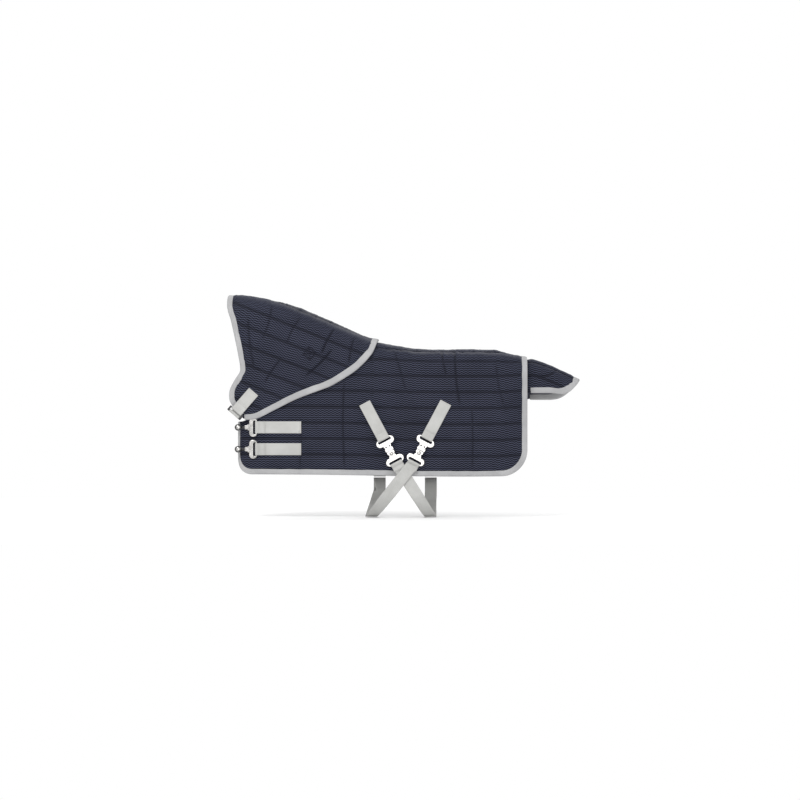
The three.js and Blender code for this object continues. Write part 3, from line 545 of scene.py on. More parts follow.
def thread_cloth(name, dark, light):
    paint = Paint(name)
    place = paint.object_space()
    twist = paint.noise(place, 900.0, 2.0)
    colour = paint.mix(twist, dark, light)
    paint.bump(twist, 0.0002, 0.8)
    return paint.finish(Base_Color=colour, Roughness=0.6 + twist * 0.2)


NICKEL = nickel_plate("nickel", (0.34, 0.335, 0.325), (0.56, 0.55, 0.535))
# The darker nickel is a painted dark reflection for the chest tongues, knuckles, bosses and stems.
PAINTED_REFLECTION_NICKEL = nickel_plate("painted_reflection_nickel", (0.045, 0.045, 0.047), (0.13, 0.13, 0.13))
PLASTIC = black_plastic()
NAVY_THREAD = thread_cloth("navy_thread", (0.006, 0.006, 0.012), (0.020, 0.021, 0.036))
GREY_THREAD = thread_cloth("grey_thread", (0.30, 0.30, 0.30), (0.52, 0.52, 0.51))
print("made", NICKEL.name, PAINTED_REFLECTION_NICKEL.name, PLASTIC.name, NAVY_THREAD.name, GREY_THREAD.name)

# %% [markdown]
# Every quilted piece here is a skin with two faces: a grid of points for the outside, a
# matching grid for the inside, and a narrow band round the edge that joins them. Bindings and
# straps are tubes: rings of points joined in turn. Making both straight from numbers keeps the
# real thickness and one closed form. Each point also keeps its own place on the cloth, for the
# weave. The folds are placed in this way, with no cloth simulation.
# %% Mesh helpers
def make_piece(name, points, faces, materials, cloth=None, second=0, smooth=True):
    mesh = bpy.data.meshes.new(name)
    points = np.asarray(points, float) * MM
    faces = np.asarray(faces, int)
    mesh.vertices.add(len(points))
    mesh.vertices.foreach_set("co", points.astype(np.float32).ravel())
    mesh.loops.add(faces.size)
    mesh.loops.foreach_set("vertex_index", faces.ravel().astype(np.int32))
    mesh.polygons.add(len(faces))
    starts = np.arange(0, faces.size, faces.shape[1])
    mesh.polygons.foreach_set("loop_start", starts.astype(np.int32))
    mesh.update(calc_edges=True)
    if cloth is not None:
        layer = mesh.attributes.new("cloth", "FLOAT_VECTOR", "POINT")
        layer.data.foreach_set("vector", (np.asarray(cloth, float) * MM).astype(np.float32).ravel())
    for material in materials:
        mesh.materials.append(material)
    if second:
        chosen = np.zeros(len(faces), np.int32)
        chosen[second:] = 1
        mesh.polygons.foreach_set("material_index", chosen)
    mesh.validate()
    if smooth:
        mesh.shade_smooth()
    piece = bpy.data.objects.new(name, mesh)
    bpy.context.scene.collection.objects.link(piece)
    return piece


def settle(piece, body, slot, *replaced):
    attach(piece, body)
    if replaced:
        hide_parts(*replaced)
    return piece


def grid_faces(rows, columns, first=0, flip=False):
    i, j = np.meshgrid(np.arange(rows - 1), np.arange(columns - 1), indexing="ij")
    a = (first + i * columns + j).ravel()
    faces = np.stack([a, a + columns, a + columns + 1, a + 1], axis=1)
    return faces[:, ::-1] if flip else faces


def skin(name, outer, inner, cloth, materials, flip):
    rows, columns = outer.shape[:2]
    count = rows * columns
    border = [i * columns for i in range(rows)]
    border += [(rows - 1) * columns + j for j in range(1, columns)]
    border += [i * columns + columns - 1 for i in range(rows - 2, -1, -1)]
    border += [j for j in range(columns - 2, 0, -1)]
    ring = np.array(border)
    following = np.roll(ring, -1)
    rim = np.stack([ring, ring + count, following + count, following], axis=1)
    top = grid_faces(rows, columns, 0, flip)
    base = grid_faces(rows, columns, count, not flip)
    rim = rim[:, ::-1] if flip else rim
    faces = np.concatenate([top, rim, base])
    points = np.concatenate([outer.reshape(-1, 3), inner.reshape(-1, 3)])
    places = np.concatenate([cloth.reshape(-1, 3), cloth.reshape(-1, 3)])
    return make_piece(name, points, faces, materials, places, len(top) + len(rim))


def tube(name, rings, cloth, material, closed=False):
    rings = np.asarray(rings, float)
    count, around = rings.shape[:2]
    i, j = np.meshgrid(np.arange(count if closed else count - 1), np.arange(around), indexing="ij")
    k = (j + 1) % around
    n = (i + 1) % count
    corners = [i * around + j, n * around + j, n * around + k, i * around + k]
    faces = np.stack([c.ravel() for c in corners], axis=1)
    points = rings.reshape(-1, 3)
    places = np.asarray(cloth, float).reshape(-1, 3)
    if not closed:
        j = np.arange(around // 2 - 1)
        start = np.stack([j, j + 1, around - 2 - j, around - 1 - j], axis=1)
        close = (count - 1) * around + start[:, ::-1]
        faces = np.concatenate([faces, start, close])
    return make_piece(name, points, faces, [material], places)


print("mesh helpers ready")

# %% [markdown]
# Quilting draws the layers together along stitched lines, and the filling puffs up between
# them. Near a line the cloth gathers into short puckers across it. Here that relief is worked
# out from the distance to the nearest line: a rounded crown between lines, plus smooth seeded
# noise for puckers and the soft dents that handling leaves.
# %% Quilted relief
def soft_noise(u, v, seed):
    table = np.random.default_rng(seed).uniform(-1, 1, (128, 128))
    i, j = np.floor(u).astype(int), np.floor(v).astype(int)
    a, b = u - i, v - j
    a, b = a * a * (3 - 2 * a), b * b * (3 - 2 * b)
    i, j, k, n = i % 128, j % 128, (i + 1) % 128, (j + 1) % 128
    low = table[i, j] * (1 - a) + table[k, j] * a
    high = table[i, n] * (1 - a) + table[k, n] * a
    return low * (1 - b) + high * b


def quilt_relief(along, level, first, pitch, seed):
    place = (level - first) / pitch
    line = np.round(place)
    gap = np.abs(place - line) * pitch
    crown = np.sin(np.clip(gap / (pitch / 2), 0, 1) * math.pi / 2) ** 0.5
    side = line * 7.3 + np.where(place > line, 3.1, 0)
    pucker = soft_noise(along / 9.0, side, seed) + 0.6 * soft_noise(along / 5.0, side, seed + 1)
    pucker *= np.exp(-gap / 9.0) * smoothstep(0, 3, gap)
    channel = np.floor(place)
    dents = soft_noise(along / 34.0, channel * 5.7 + place * 1.1, seed + 2)
    fine = soft_noise(along / 17.0, channel * 3.9 + place * 2.3, seed + 3)
    body = 7.4 * crown + 2.4 * pucker + (1.6 * dents + 1.0 * fine) * crown
    return body, gap


def crease(x, z, start, end, width, depth, bow=0.0):
    start, end = np.array(start, float), np.array(end, float)
    way = end - start
    length = np.linalg.norm(way)
    way /= length
    t = ((x - start[0]) * way[0] + (z - start[1]) * way[1]) / length
    off = (x - start[0]) * way[1] - (z - start[1]) * way[0] - bow * np.sin(np.clip(t, 0, 1) * math.pi)
    ends = smoothstep(-0.06, 0.12, t) * (1 - smoothstep(0.88, 1.06, t))
    valley = -np.exp(-((off / width) ** 2))
    lip = 0.45 * np.exp(-(((np.abs(off) - 2.1 * width) / (1.3 * width)) ** 2))
    return depth * (valley + lip) * ends


# The gap that sets the painted valley shade: the distance to the nearest stitch line, made smaller in the
# creases so that they are painted darker too.
def valley_shade_gap(gap, folds):
    return np.minimum(gap, 9 + 4.5 * np.minimum(folds, 0) / 1.2)


channel = quilt_relief(np.zeros(4), np.array([0, 10, 20, 33.0]), 0, 66.6, 1)[0]
print("relief of one 66 mm channel:", np.round(channel, 1))

# %% [markdown]
# The two body halves mirror each other in cut but not in their wrinkles. Rows run from the
# spine (or from under the neck cover) down to the hem, and columns are closer at the rounded
# corners. Where the binding grips the edge the layers are squeezed thin, and the chest webbing
# holds the puffs down where it is sewn on.
# %% Body panels
PITCH = 66.6
FIRST_LINE = 78.0


def corner_columns():
    front = FRONT_CORNER * (1 - np.cos(np.linspace(0, math.pi / 2, 15)))
    rear = PANEL_LENGTH - REAR_CORNER * (1 - np.cos(np.linspace(math.pi / 2, 0, 17)))
    middle = np.linspace(FRONT_CORNER, PANEL_LENGTH - REAR_CORNER, 252)[1:-1]
    runs = np.concatenate([front, middle, rear])
    ahead = np.clip(1 - runs / FRONT_CORNER, 0, 1)
    behind = np.clip(1 - (PANEL_LENGTH - runs) / REAR_CORNER, 0, 1)
    lift = FRONT_CORNER * (1 - np.sqrt(1 - ahead**2)) + REAR_CORNER * (1 - np.sqrt(1 - behind**2))
    return runs, lift


RUNS, LIFTS = corner_columns()


def body_ends():
    return hem_girth(panel_x(RUNS)) - LIFTS


def pinch(gap):
    return smoothstep(12, 34, gap)


def body_creases(x, z, side):
    relief = crease(x, z, (-461, -119), (-459, -476), 4.0, 2.2, 5)
    relief += crease(x, z, (-643, -268), (-645, -476), 3.5, 1.8, -4)
    relief += crease(x, z, (-58, 14), (-37, -90), 5.0, 2.0)
    relief += crease(x, z, (0, 14), (21, -214), 5.0, 2.2, 6)
    relief += crease(x, z, (70, -223), (72, -476), 4.0, 1.8, -3)
    relief += crease(x, z, (-250, 10), (-205, -150), 6.0, 1.4)
    relief += crease(x, z, (170, -40), (215, -250), 6.0, 1.3, 8)
    return relief if side < 0 else np.roll(relief, 23, axis=0)


LAYERS = ("outer", "wadding", "lining")
HELD_LENGTH = 215.0
HELD_MARGIN = 4.0
HELD_DEPTH = 0.6


def body_panel(label, side, seed):
    top, end = panel_top(RUNS), body_ends()
    share = np.linspace(0, 1, 118)[None, :]
    run = np.repeat(RUNS[:, None], share.size, axis=1)
    girth = top[:, None] + (end - top)[:, None] * share
    level = hem_girth(panel_x(run)) - girth
    flat = body_point(run, girth, 0, side)
    relief, line_gap = quilt_relief(run, level, FIRST_LINE, PITCH, seed)
    folds = body_creases(flat[..., 0], flat[..., 2], side) * smoothstep(0, 30, level)
    relief += 1.6 * folds
    corner_gap = np.minimum(edge_gap(run, level), np.minimum(run, PANEL_LENGTH - run))
    grip = pinch(corner_gap)
    ridge = smoothstep(-2, 16, girth + np.where(top[:, None] > 0, 40, 0))
    outer_depth = 2.6 * (1 - grip) + grip * (4.2 - relief * (0.45 + 0.55 * ridge))
    inner_crown = quilt_relief(run, level, FIRST_LINE, PITCH, seed + 9)[0]
    inner_depth = THICKNESS - 2.6 * (1 - grip) - grip * (2.6 - 0.5 * inner_crown)
    for row in ("upper", "lower"):
        held_z = JOINTS[f"chest_{row}_near_open"]["pos_m"][2] / MM
        held = np.abs(flat[..., 2] - held_z) < WEBBING_WIDTH / 2 + HELD_MARGIN
        held &= flat[..., 0] < CHEST_X + HELD_LENGTH
        outer_depth = np.where(held, np.maximum(outer_depth, HELD_DEPTH), outer_depth)
    outer = body_point(run, girth, outer_depth, side)
    inner = body_point(run, girth, np.minimum(inner_depth, THICKNESS + 0.2), side)
    for face in (outer, inner):
        face[..., 1] = np.where(side * face[..., 1] < 0.15, side * 0.15, face[..., 1])
    cloth = np.stack([run, girth, valley_shade_gap(line_gap, folds)], axis=-1)
    piece = skin(f"body_quilt_{label}", outer, inner, cloth, [NAVY, LINING], side < 0)
    settle(piece, "rug_body", "navy_quilt", *[f"body_{layer}_{label}" for layer in LAYERS])
    return piece


def edge_gap(run, level):
    ahead = np.maximum(0, FRONT_CORNER - run)
    behind = np.maximum(0, run - (PANEL_LENGTH - REAR_CORNER))
    low_front = np.maximum(0, FRONT_CORNER - level)
    low_rear = np.maximum(0, REAR_CORNER - level)
    at_front = FRONT_CORNER - np.hypot(ahead, low_front)
    at_rear = REAR_CORNER - np.hypot(behind, low_rear)
    gap = np.where((ahead > 0) & (low_front > 0), at_front, level)
    return np.where((behind > 0) & (low_rear > 0), at_rear, gap)


for label, side, seed in (("near", -1, 11), ("off", 1, 31)):
    made = body_panel(label, side, seed)
    print(made.name, len(made.data.vertices), "points")

# %% [markdown]
# The neck cover is quilted too, along lines that fall gently from the crest towards the
# shoulder. Its two halves hang over the front of the body panels. They ride on the CAD's neck
# body, which turns about a line across the withers when the pony lifts its head.
# %% Neck cover
NECK_LINE = -155.5
NECK_PITCH = 79.0


def neck_creases(x, z):
    relief = crease(x, z, (-503, 100), (-553, 0), 5.0, 2.6, 4)
    relief += crease(x, z, (-511, 15), (-619, -92), 5.0, 2.6, -5)
    relief += crease(x, z, (-640, 150), (-700, 40), 6.0, 1.6, 6)
    relief += crease(x, z, (-760, 200), (-800, 60), 6.0, 1.5, -6)
    relief += crease(x, z, (-860, 150), (-835, -60), 6.0, 1.6, 5)
    relief += crease(x, z, (-720, -20), (-790, -120), 5.0, 1.8, 4)
    relief += crease(x, z, (-420, 60), (-440, -40), 5.0, 1.8, 3)
    relief += crease(x, z, (-880, 30), (-900, -90), 5.0, 1.6, -3)
    return relief


def box_stitch(x, z, centre, half, turn):
    dx, dz = x - centre[0], z - centre[1]
    a = dx * math.cos(turn) + dz * math.sin(turn)
    b = dz * math.cos(turn) - dx * math.sin(turn)
    edge = np.abs(np.maximum(np.abs(a), np.abs(b)) - half)
    diagonal = np.minimum(np.abs(a - b), np.abs(a + b)) / 1.4
    crossing = np.where(np.maximum(np.abs(a), np.abs(b)) < half, diagonal, 99)
    return -2.2 * np.exp(-((np.minimum(edge, crossing) / 2.6) ** 2))


def neck_panel(label, side, seed):
    u = np.linspace(0, 1, 190)[:, None]
    v = np.linspace(0, 1, 120)[None, :]
    u, v = np.broadcast_arrays(u, v)
    cloth = neck_cloth(u, v)
    x, girth = cloth[..., 0], np.maximum(cloth[..., 1], 0)
    flat = neck_point(x, girth, 0, side)
    level = flat[..., 2] + 0.4 * x
    along = x - 0.4 * flat[..., 2]
    relief, line_gap = quilt_relief(along, level, NECK_LINE, NECK_PITCH, seed)
    folds = neck_creases(x, flat[..., 2])
    folds += box_stitch(x, flat[..., 2], (-604, 0), 19, math.radians(-38)) if side < 0 else 0
    relief += 1.6 * folds
    lengths = np.linalg.norm(np.gradient(cloth, axis=0), axis=-1)
    from_front = np.cumsum(lengths, axis=0)
    down = np.linalg.norm(np.gradient(cloth, axis=1), axis=-1)
    to_seam = np.cumsum(down[:, ::-1], axis=1)[:, ::-1] - down
    gap = np.minimum(from_front, to_seam)
    grip = pinch(gap)
    ridge = smoothstep(-2, 16, girth)
    outer_depth = 2.6 * (1 - grip) + grip * (4.2 - relief * (0.45 + 0.55 * ridge))
    inner = quilt_relief(along, level, NECK_LINE, NECK_PITCH, seed + 9)[0]
    inner_depth = THICKNESS - 2.6 * (1 - grip) - grip * (2.6 - 0.45 * inner)
    outer_face = neck_point(x, girth, outer_depth, side)
    inner_face = neck_point(x, girth, np.minimum(inner_depth, THICKNESS), side)
    for face in (outer_face, inner_face):
        face[..., 1] = np.where(side * face[..., 1] < 0.15, side * 0.15, face[..., 1])
    places = np.stack([along, -girth, valley_shade_gap(line_gap, folds)], axis=-1)
    piece = skin(f"neck_quilt_{label}", outer_face, inner_face, places, [NAVY, LINING], side < 0)
    settle(piece, "neck_cover", "navy_quilt", *[f"neck_{layer}_{label}" for layer in LAYERS])
    return piece


for label, side, seed in (("near", -1, 51), ("off", 1, 71)):
    made = neck_panel(label, side, seed)
    print(made.name, len(made.data.vertices), "points")

# %% [markdown]
# The tail flap is a small quilted tongue sewn in behind the rump. It arches over the top of
# the tail and hangs a little, with a rounded end. Its own two quilting lines run lengthwise.
# %% Tail flap
FLAP_LENGTH = 210.0
FLAP_START = RUMP_X + 10.5
FLAP_RISE = 46.0
FLAP_GIRTH = 80.0
RUMP_TOP = float(spine(RUMP_X))
flap_top = curve_through([
    (FLAP_START, RUMP_TOP - 12),
    (FLAP_START + 0.15 * FLAP_LENGTH, RUMP_TOP - 17),
    (FLAP_START + 0.5 * FLAP_LENGTH, RUMP_TOP - 44),
    (FLAP_START + FLAP_LENGTH, RUMP_TOP - 92),
])
flap_half = curve_through([(FLAP_START, 54), (FLAP_START + FLAP_LENGTH, 40)])


def flap_edge(share):
    x = FLAP_START + share * FLAP_LENGTH
    lowest = RUMP_TOP - 12 - 150
    full = FLAP_GIRTH + flap_top(x) - FLAP_RISE - lowest
    past = np.clip((share - 0.55) / 0.45, 0, 1)
    return x, np.maximum(20, full * np.sqrt(np.maximum(0, 1 - past**2.2)))


def side_trim(x):
    return 14.0 * (1 - smoothstep(FLAP_START + 90, FLAP_START + 185, x))


def flap_point(x, girth, depth):
    tucked = 4.0 * (1 - smoothstep(FLAP_START - 4, FLAP_START + 14, x))
    top = flap_top(x) - tucked
    return arch_point(x, top, flap_half(x), girth, depth, np.sign(girth), FLAP_RISE, FLAP_GIRTH)


def tail_flap():
    share = 1.02 * (1 - (1 - np.linspace(0, 1, 84)) ** 1.6) - 0.02
    x, edge = flap_edge(share)
    across = np.linspace(-1, 1, 121)[None, :]
    girth = (edge[:, None] + side_trim(x)[:, None] * np.sign(across)) * across
    x = np.repeat(x[:, None], across.size, axis=1)
    relief, line_gap = quilt_relief(x, girth, 33.3, 66.6, 91)
    folds = crease(x, girth, (FLAP_START + 30, -100), (FLAP_START + 110, -50), 5.0, 2.4, 10)
    folds += crease(x, girth, (FLAP_START + 10, 60), (FLAP_START + 130, 105), 5.0, 2.0, -8)
    relief += 1.6 * folds
    limit = edge[:, None] + side_trim(x) * np.sign(across)
    gap = np.minimum(limit - np.abs(girth), (FLAP_START + FLAP_LENGTH - x))
    grip = pinch(gap)
    outer_depth = 2.6 * (1 - grip) + grip * (4.2 - 0.85 * relief)
    inner_depth = np.full_like(outer_depth, THICKNESS) - 2.6 * (1 - grip) - 1.0 * grip
    outer = flap_point(x, girth, outer_depth)
    inner = flap_point(x, girth, inner_depth)
    cloth = np.stack([x, girth, valley_shade_gap(line_gap, folds)], axis=-1)
    piece = skin("tail_flap_quilt", outer, inner, cloth, [NAVY, LINING], False)
    settle(piece, "tail_flap", "navy_quilt", *[f"tail_flap_{layer}" for layer in LAYERS])
    return piece


print(tail_flap().name)

# %% [markdown]
# A binding is one braid folded over the edge of the layers and sewn through. Its cross-section
# is a narrow U with a rounded fold, and it is swept along the edge line. A braid is stiffer
# than the cloth, so it lies smoother, with only a slight waver and small puckers at the seam.
# %% Bindings
def outwards(line, turn):
    step = np.diff(line, axis=0)
    step /= np.linalg.norm(step, axis=1)[:, None]
    normal = np.stack([-step[:, 1] * turn, step[:, 0] * turn], axis=1)
    before = np.concatenate([normal[:1], normal])
    after = np.concatenate([normal, normal[-1:]])
    out = before + after
    out /= np.linalg.norm(out, axis=1)[:, None]
    reach = np.maximum(0.6, (out * after).sum(axis=1))
    return out / reach[:, None]


def even_line(line, step):
    gaps = np.linalg.norm(np.diff(line, axis=0), axis=1)
    length = np.concatenate([[0], np.cumsum(gaps)])
    places = np.linspace(0, length[-1], max(8, int(length[-1] / step)))
    return np.stack([np.interp(places, length, line[:, k]) for k in range(2)], axis=1), places


def braid_section(cloth=1.3):
    outer, inner = [], []
    for edge in np.linspace(-BINDING_WIDTH, 0, 9)[:-1]:
        swell = smoothstep(-BINDING_WIDTH, -6, edge)
        outer.append((edge, 1.0 - 0.8 * swell))
        inner.append((edge, 1.0 - 0.8 * swell + cloth))
    for angle in np.linspace(-math.pi / 2, 0, 7)[:-1]:
        outer.append((BINDING_OUT * math.cos(angle), 6 + 5.8 * math.sin(angle)))
        inner.append(((BINDING_OUT - cloth) * math.cos(angle), 6 + (5.8 - cloth) * math.sin(angle)))
    outer.append((BINDING_OUT, 6.0))
    inner.append((BINDING_OUT - cloth, 6.0))
    outer += [(edge, 12 - depth) for edge, depth in reversed(outer[:-1])]
    inner += [(edge, 12 - depth) for edge, depth in reversed(inner[:-1])]
    return np.array(outer + inner[::-1])


SECTION = braid_section()


def binding(name, line, turn, place, seed, body, replaced, spread=3.0):
    line, lengths = even_line(line, spread)
    out = outwards(line, turn)
    waver = 0.7 * soft_noise(lengths / 37.0, np.zeros_like(lengths), seed)
    pucker = soft_noise(lengths[:, None] / 6.0, SECTION[None, :, 0] / 40 + SECTION[None, :, 1] / 9, seed + 1)
    near_seam = smoothstep(-8, -BINDING_WIDTH, SECTION[None, :, 0])
    edge = SECTION[None, :, 0] + waver[:, None] * near_seam
    push = (0.35 + 0.45 * near_seam) * pucker * np.sign(SECTION[None, :, 1] - 6)
    depth = SECTION[None, :, 1] + push
    at = line[:, None, :] + out[:, None, :] * edge[..., None]
    rings = place(at[..., 0], at[..., 1], depth)
    places = np.stack(np.broadcast_arrays(lengths[:, None], SECTION[None, :, 0], 0.0), axis=-1)
    piece = tube(name, rings, places, BINDING)
    settle(piece, body, "grey_binding", replaced)
    return piece, line, out


def on_body(side):
    def place(x, girth, depth):
        points = body_point(x, np.maximum(0, girth), depth, side)
        points[..., 1] = np.where(side * points[..., 1] < 0.15, side * 0.15, points[..., 1])
        return points
    return place


def on_neck(side):
    def place(x, girth, depth):
        points = neck_point(x, np.maximum(0, girth), depth, side)
        points[..., 1] = np.where(side * points[..., 1] < 0.15, side * 0.15, points[..., 1])
        return points
    return place


def body_edge():
    end = body_ends()
    front = np.linspace(float(panel_top(np.array([0.0]))[0]) + 2, end[0], 40)[:-1]
    rear = np.linspace(end[-1], 0, 70)[1:]
    front_line_ = np.stack([np.zeros_like(front), front], axis=1)
    rear_line = np.stack([np.full_like(rear, PANEL_LENGTH), rear], axis=1)
    return np.concatenate([front_line_, np.stack([RUNS, end], axis=1), rear_line])


neck_front = front_line(np.linspace(0, 0.975, 160))
neck_seam = seam_line(np.linspace(0, 0.985, 190))
flap_x, flap_girth = flap_edge(1 - (1 - np.linspace(0.03, 1, 90)) ** 1.6)
off_edge = np.stack([flap_x, flap_girth + side_trim(flap_x)], axis=1)
near_edge = np.stack([flap_x, side_trim(flap_x) - flap_girth], axis=1)
flap_line = np.concatenate([off_edge, near_edge[::-1]])
SEAMS = []
for label, side, seed in (("near", -1, 101), ("off", 1, 111)):
    jobs = (
        (f"body_edge_{label}", body_edge(), 1, on_body(side), "rug_body", f"body_binding_{label}"),
        (f"neck_front_edge_{label}", neck_front, 1, on_neck(side), "neck_cover",
         f"neck_front_binding_{label}"),
        (f"neck_seam_edge_{label}", neck_seam, -1, on_neck(side), "neck_cover", f"neck_seam_binding_{label}"),
    )
    for name, line, turn, place, body, node in jobs:
        piece, even, out = binding(name, line, turn, place, seed, body, node)
        SEAMS.append((name, even, out, place, body))
        print(piece.name, len(piece.data.vertices), "points")
piece, even, out = binding("tail_flap_edge", flap_line, 1, flap_point, 121, "tail_flap", "tail_flap_binding")
SEAMS.append(("tail_flap_edge", even, out, flap_point, "tail_flap"))

# %% [markdown]
# Webbing straps are flat ribbons with softly rounded edges. Where one ends at a bar it folds
# round it and comes back on itself, and a few rows of stitching hold the fold. Each strap is
# swept along its middle line, with the way out of the cloth given at every place. The tape
# under the spine seam is made here too, bent over the rounded top of the lining.
# %% Straps
def strap_section(width, thick):
    corner = thick * 0.42
    across = np.concatenate([
        np.linspace(-width / 2 + corner, width / 2 - corner, 9),
        [width / 2 - corner * 0.3, width / 2, width / 2, width / 2 - corner * 0.3],
        np.linspace(width / 2 - corner, -width / 2 + corner, 9),
        [-width / 2 + corner * 0.3, -width / 2, -width / 2, -width / 2 + corner * 0.3],
    ])
    half = thick / 2
    up = np.concatenate([
        np.full(9, -half),
        [-half * 0.75, -half * 0.3, half * 0.3, half * 0.75],
        np.full(9, half),
        [half * 0.75, half * 0.3, -half * 0.3, -half * 0.75],
    ])
    return across, up


def strap(name, middle, out, body, slot="grey_webbing", material=None, width=WEBBING_WIDTH, thick=WEBBING,
          nodes=(), seed=5, waver=0.35):
    middle, out = np.asarray(middle, float), np.asarray(out, float)
    gaps = np.linalg.norm(np.diff(middle, axis=0), axis=1)
    length = np.concatenate([[0], np.cumsum(gaps)])
    along = np.gradient(middle, axis=0)
    along /= np.linalg.norm(along, axis=1)[:, None]
    side = np.cross(along, out)
    side /= np.linalg.norm(side, axis=1)[:, None]
    up = np.cross(side, along)
    across, lift = strap_section(width, thick)
    wave = waver * soft_noise(length[:, None] / 24.0, across[None, :] / 21.0 + 9, seed)
    rings = middle[:, None, :] + side[:, None, :] * across[None, :, None]
    rings = rings + up[:, None, :] * (lift[None, :] + wave)[..., None]
    places = np.stack(np.broadcast_arrays(length[:, None], across[None, :], 0.0), axis=-1)
    piece = tube(name, rings, places, material or WEB)
    settle(piece, body, slot, *nodes)
    return piece


tape_run = np.linspace(WITHERS_X + 60, RUMP_X - BINDING_WIDTH - 4, 260)[:, None]
tape_across, tape_up = strap_section(30.0, 1.7)
tape_depth = THICKNESS + 1.6 + 0.85 - tape_up[None, :]
tape_side = np.where(tape_across[None, :] < 0, -1.0, 1.0)
tape_girth = np.abs(tape_across)[None, :]
tape = arch_point(tape_run, spine(tape_run), half_width(tape_run), tape_girth, tape_depth, tape_side)
tape[..., 2] = spine(tape_run) - tape_depth - 0.02 * tape_girth
tape_cloth = np.stack(np.broadcast_arrays(tape_run, tape_across[None, :], 0.0), axis=-1)
piece = tube("spine_tape_braid", tape, tape_cloth, BINDING)
settle(piece, "rug_body", "grey_binding", "spine_tape")


class Place:
    """Where a fitting lies: along the webbing, out from the cloth and across it."""

    def __init__(self, origin, along, out):
        self.origin = np.array(origin, float)
        self.along = np.array(along, float) / np.linalg.norm(along)
        self.out = np.array(out, float) / np.linalg.norm(out)
        self.across = np.cross(self.along, self.out)

    def at(self, x, y, z):
        x, y, z = np.broadcast_arrays(x, y, z)
        return (self.origin + x[..., None] * self.along + y[..., None] * self.out
                + z[..., None] * self.across)


def folded_eye(length, fold, lift=0.0, end_lift=0.0):
    """The middle line of webbing that comes up from -length, folds round a bar and goes back."""
    radius = EYE_INNER + WEBBING / 2
    centre = lift + EYE_HEIGHT
    xs = np.linspace(-length, 0, 40)
    low = lift + WEBBING / 2 + end_lift * smoothstep(-length * 0.4, -length, xs)
    angles = np.linspace(-math.pi / 2, math.pi / 2 + 0.75, 22)[1:]
    turn_x = radius * np.cos(angles)
    turn_y = centre + radius * np.sin(angles)
    back = np.linspace(0, 1, 24)[1:]
    last_x, last_y = turn_x[-1], turn_y[-1]
    rest = lift + WEBBING * 1.5 + 0.15
    back_x = last_x + (-fold - last_x) * back
    back_y = rest + (last_y - rest) * (1 - smoothstep(0, 0.35, back))
    x = np.concatenate([xs, turn_x, back_x])
    y = np.concatenate([low, turn_y, back_y])
    step_x, step_y = np.gradient(x), np.gradient(y)
    size = np.hypot(step_x, step_y)
    return x, y, -step_y / size, step_x / size


def eye_strap(name, place, length, fold, body, nodes, seed, lift=0.0):
    x, y, nx, ny = folded_eye(length, fold, lift)
    middle = place.at(x, y, np.zeros_like(x))
    out = nx[:, None] * place.along + ny[:, None] * place.out
    return strap(name, middle, out, body, nodes=nodes, seed=seed)


def joint_place(name, out):
    joint = JOINTS[name]
    out = np.array(out, float)
    return Place(np.array(joint["pos_m"]) / MM - out * EYE_HEIGHT, np.cross(out, joint["axis"]), out)


NEAR_OUT = np.array([0.0, -1.0, 0.0])
tab_places, stud_places = {}, {}
for part, seed in (("front", 201), ("rear", 211)):
    tab_places[part] = joint_place(f"keyhole_swing_{part}", NEAR_OUT)
    stud_places[part] = joint_place(f"stud_swing_{part}", NEAR_OUT)
    nodes = [f"belly_tab_{part}"]
    made = eye_strap(f"belly_tab_web_{part}", tab_places[part], 168, 34, "rug_body", nodes, seed)
    print(made.name, "along", np.round(tab_places[part].along, 2))

# %% [markdown]
# The two belly straps start at the lower clasp halves, cross just above the hem and pass under
# the belly to the far side. A strap held only at its ends hangs in a smooth deep bend. The
# route repeats the CAD's own: a straight slant down, round the bottom and up to the far patch.
# %% Belly straps
STRAP_BOTTOM = 174.0
BEND_TOP = HEM_Z - 70
PIVOT_Z = HEM_Z - 12
OFF_PLANE = float(half_width(at_body(0.45))) - THICKNESS - 5.5 - 3
BELLY = {
    "front": {"bottom": at_body(0.669), "anchor": at_body(0.671), "over": 0.0},
    "rear": {"bottom": at_body(0.463), "anchor": at_body(0.492), "over": WEBBING + 2.6},
}


def belly_route(start, facts):
    near_y = start[1] - WEBBING / 2
    middle_y = (near_y + OFF_PLANE) / 2
    half_span = (OFF_PLANE - near_y) / 2
    share = np.linspace(0.03, 1, 50)
    z = start[2] + (BEND_TOP - start[2]) * share
    fall = (start[2] - z) / (start[2] - (HEM_Z - STRAP_BOTTOM))
    x = start[0] + (facts["bottom"] - start[0]) * fall
    rise = facts["over"] * smoothstep(0.02, 0.24, share)
    lead = np.stack([x, near_y - rise, z], axis=1)
    turn = np.linspace(0, math.pi, 90)[1:]
    drop = STRAP_BOTTOM - (HEM_Z - BEND_TOP)
    from_x = np.where(turn < math.pi / 2, x[-1], facts["anchor"])
    round_x = facts["bottom"] + (from_x - facts["bottom"]) * (1 - np.sin(turn))
    reach = half_span + facts["over"] * (1 - turn / math.pi)
    bend = np.stack([round_x, middle_y - reach * np.cos(turn), BEND_TOP - drop * np.sin(turn)], axis=1)
    last = np.array([[facts["anchor"], OFF_PLANE, PIVOT_Z - 2]])
    out = np.stack([0 * turn, -np.cos(turn) * drop, -np.sin(turn) * half_span], axis=1)
    out = np.concatenate([np.tile(NEAR_OUT, (50, 1)), out, [[0, 1, 0]]])
    out /= np.linalg.norm(out, axis=1)[:, None]
    return np.concatenate([lead, bend, last]), out


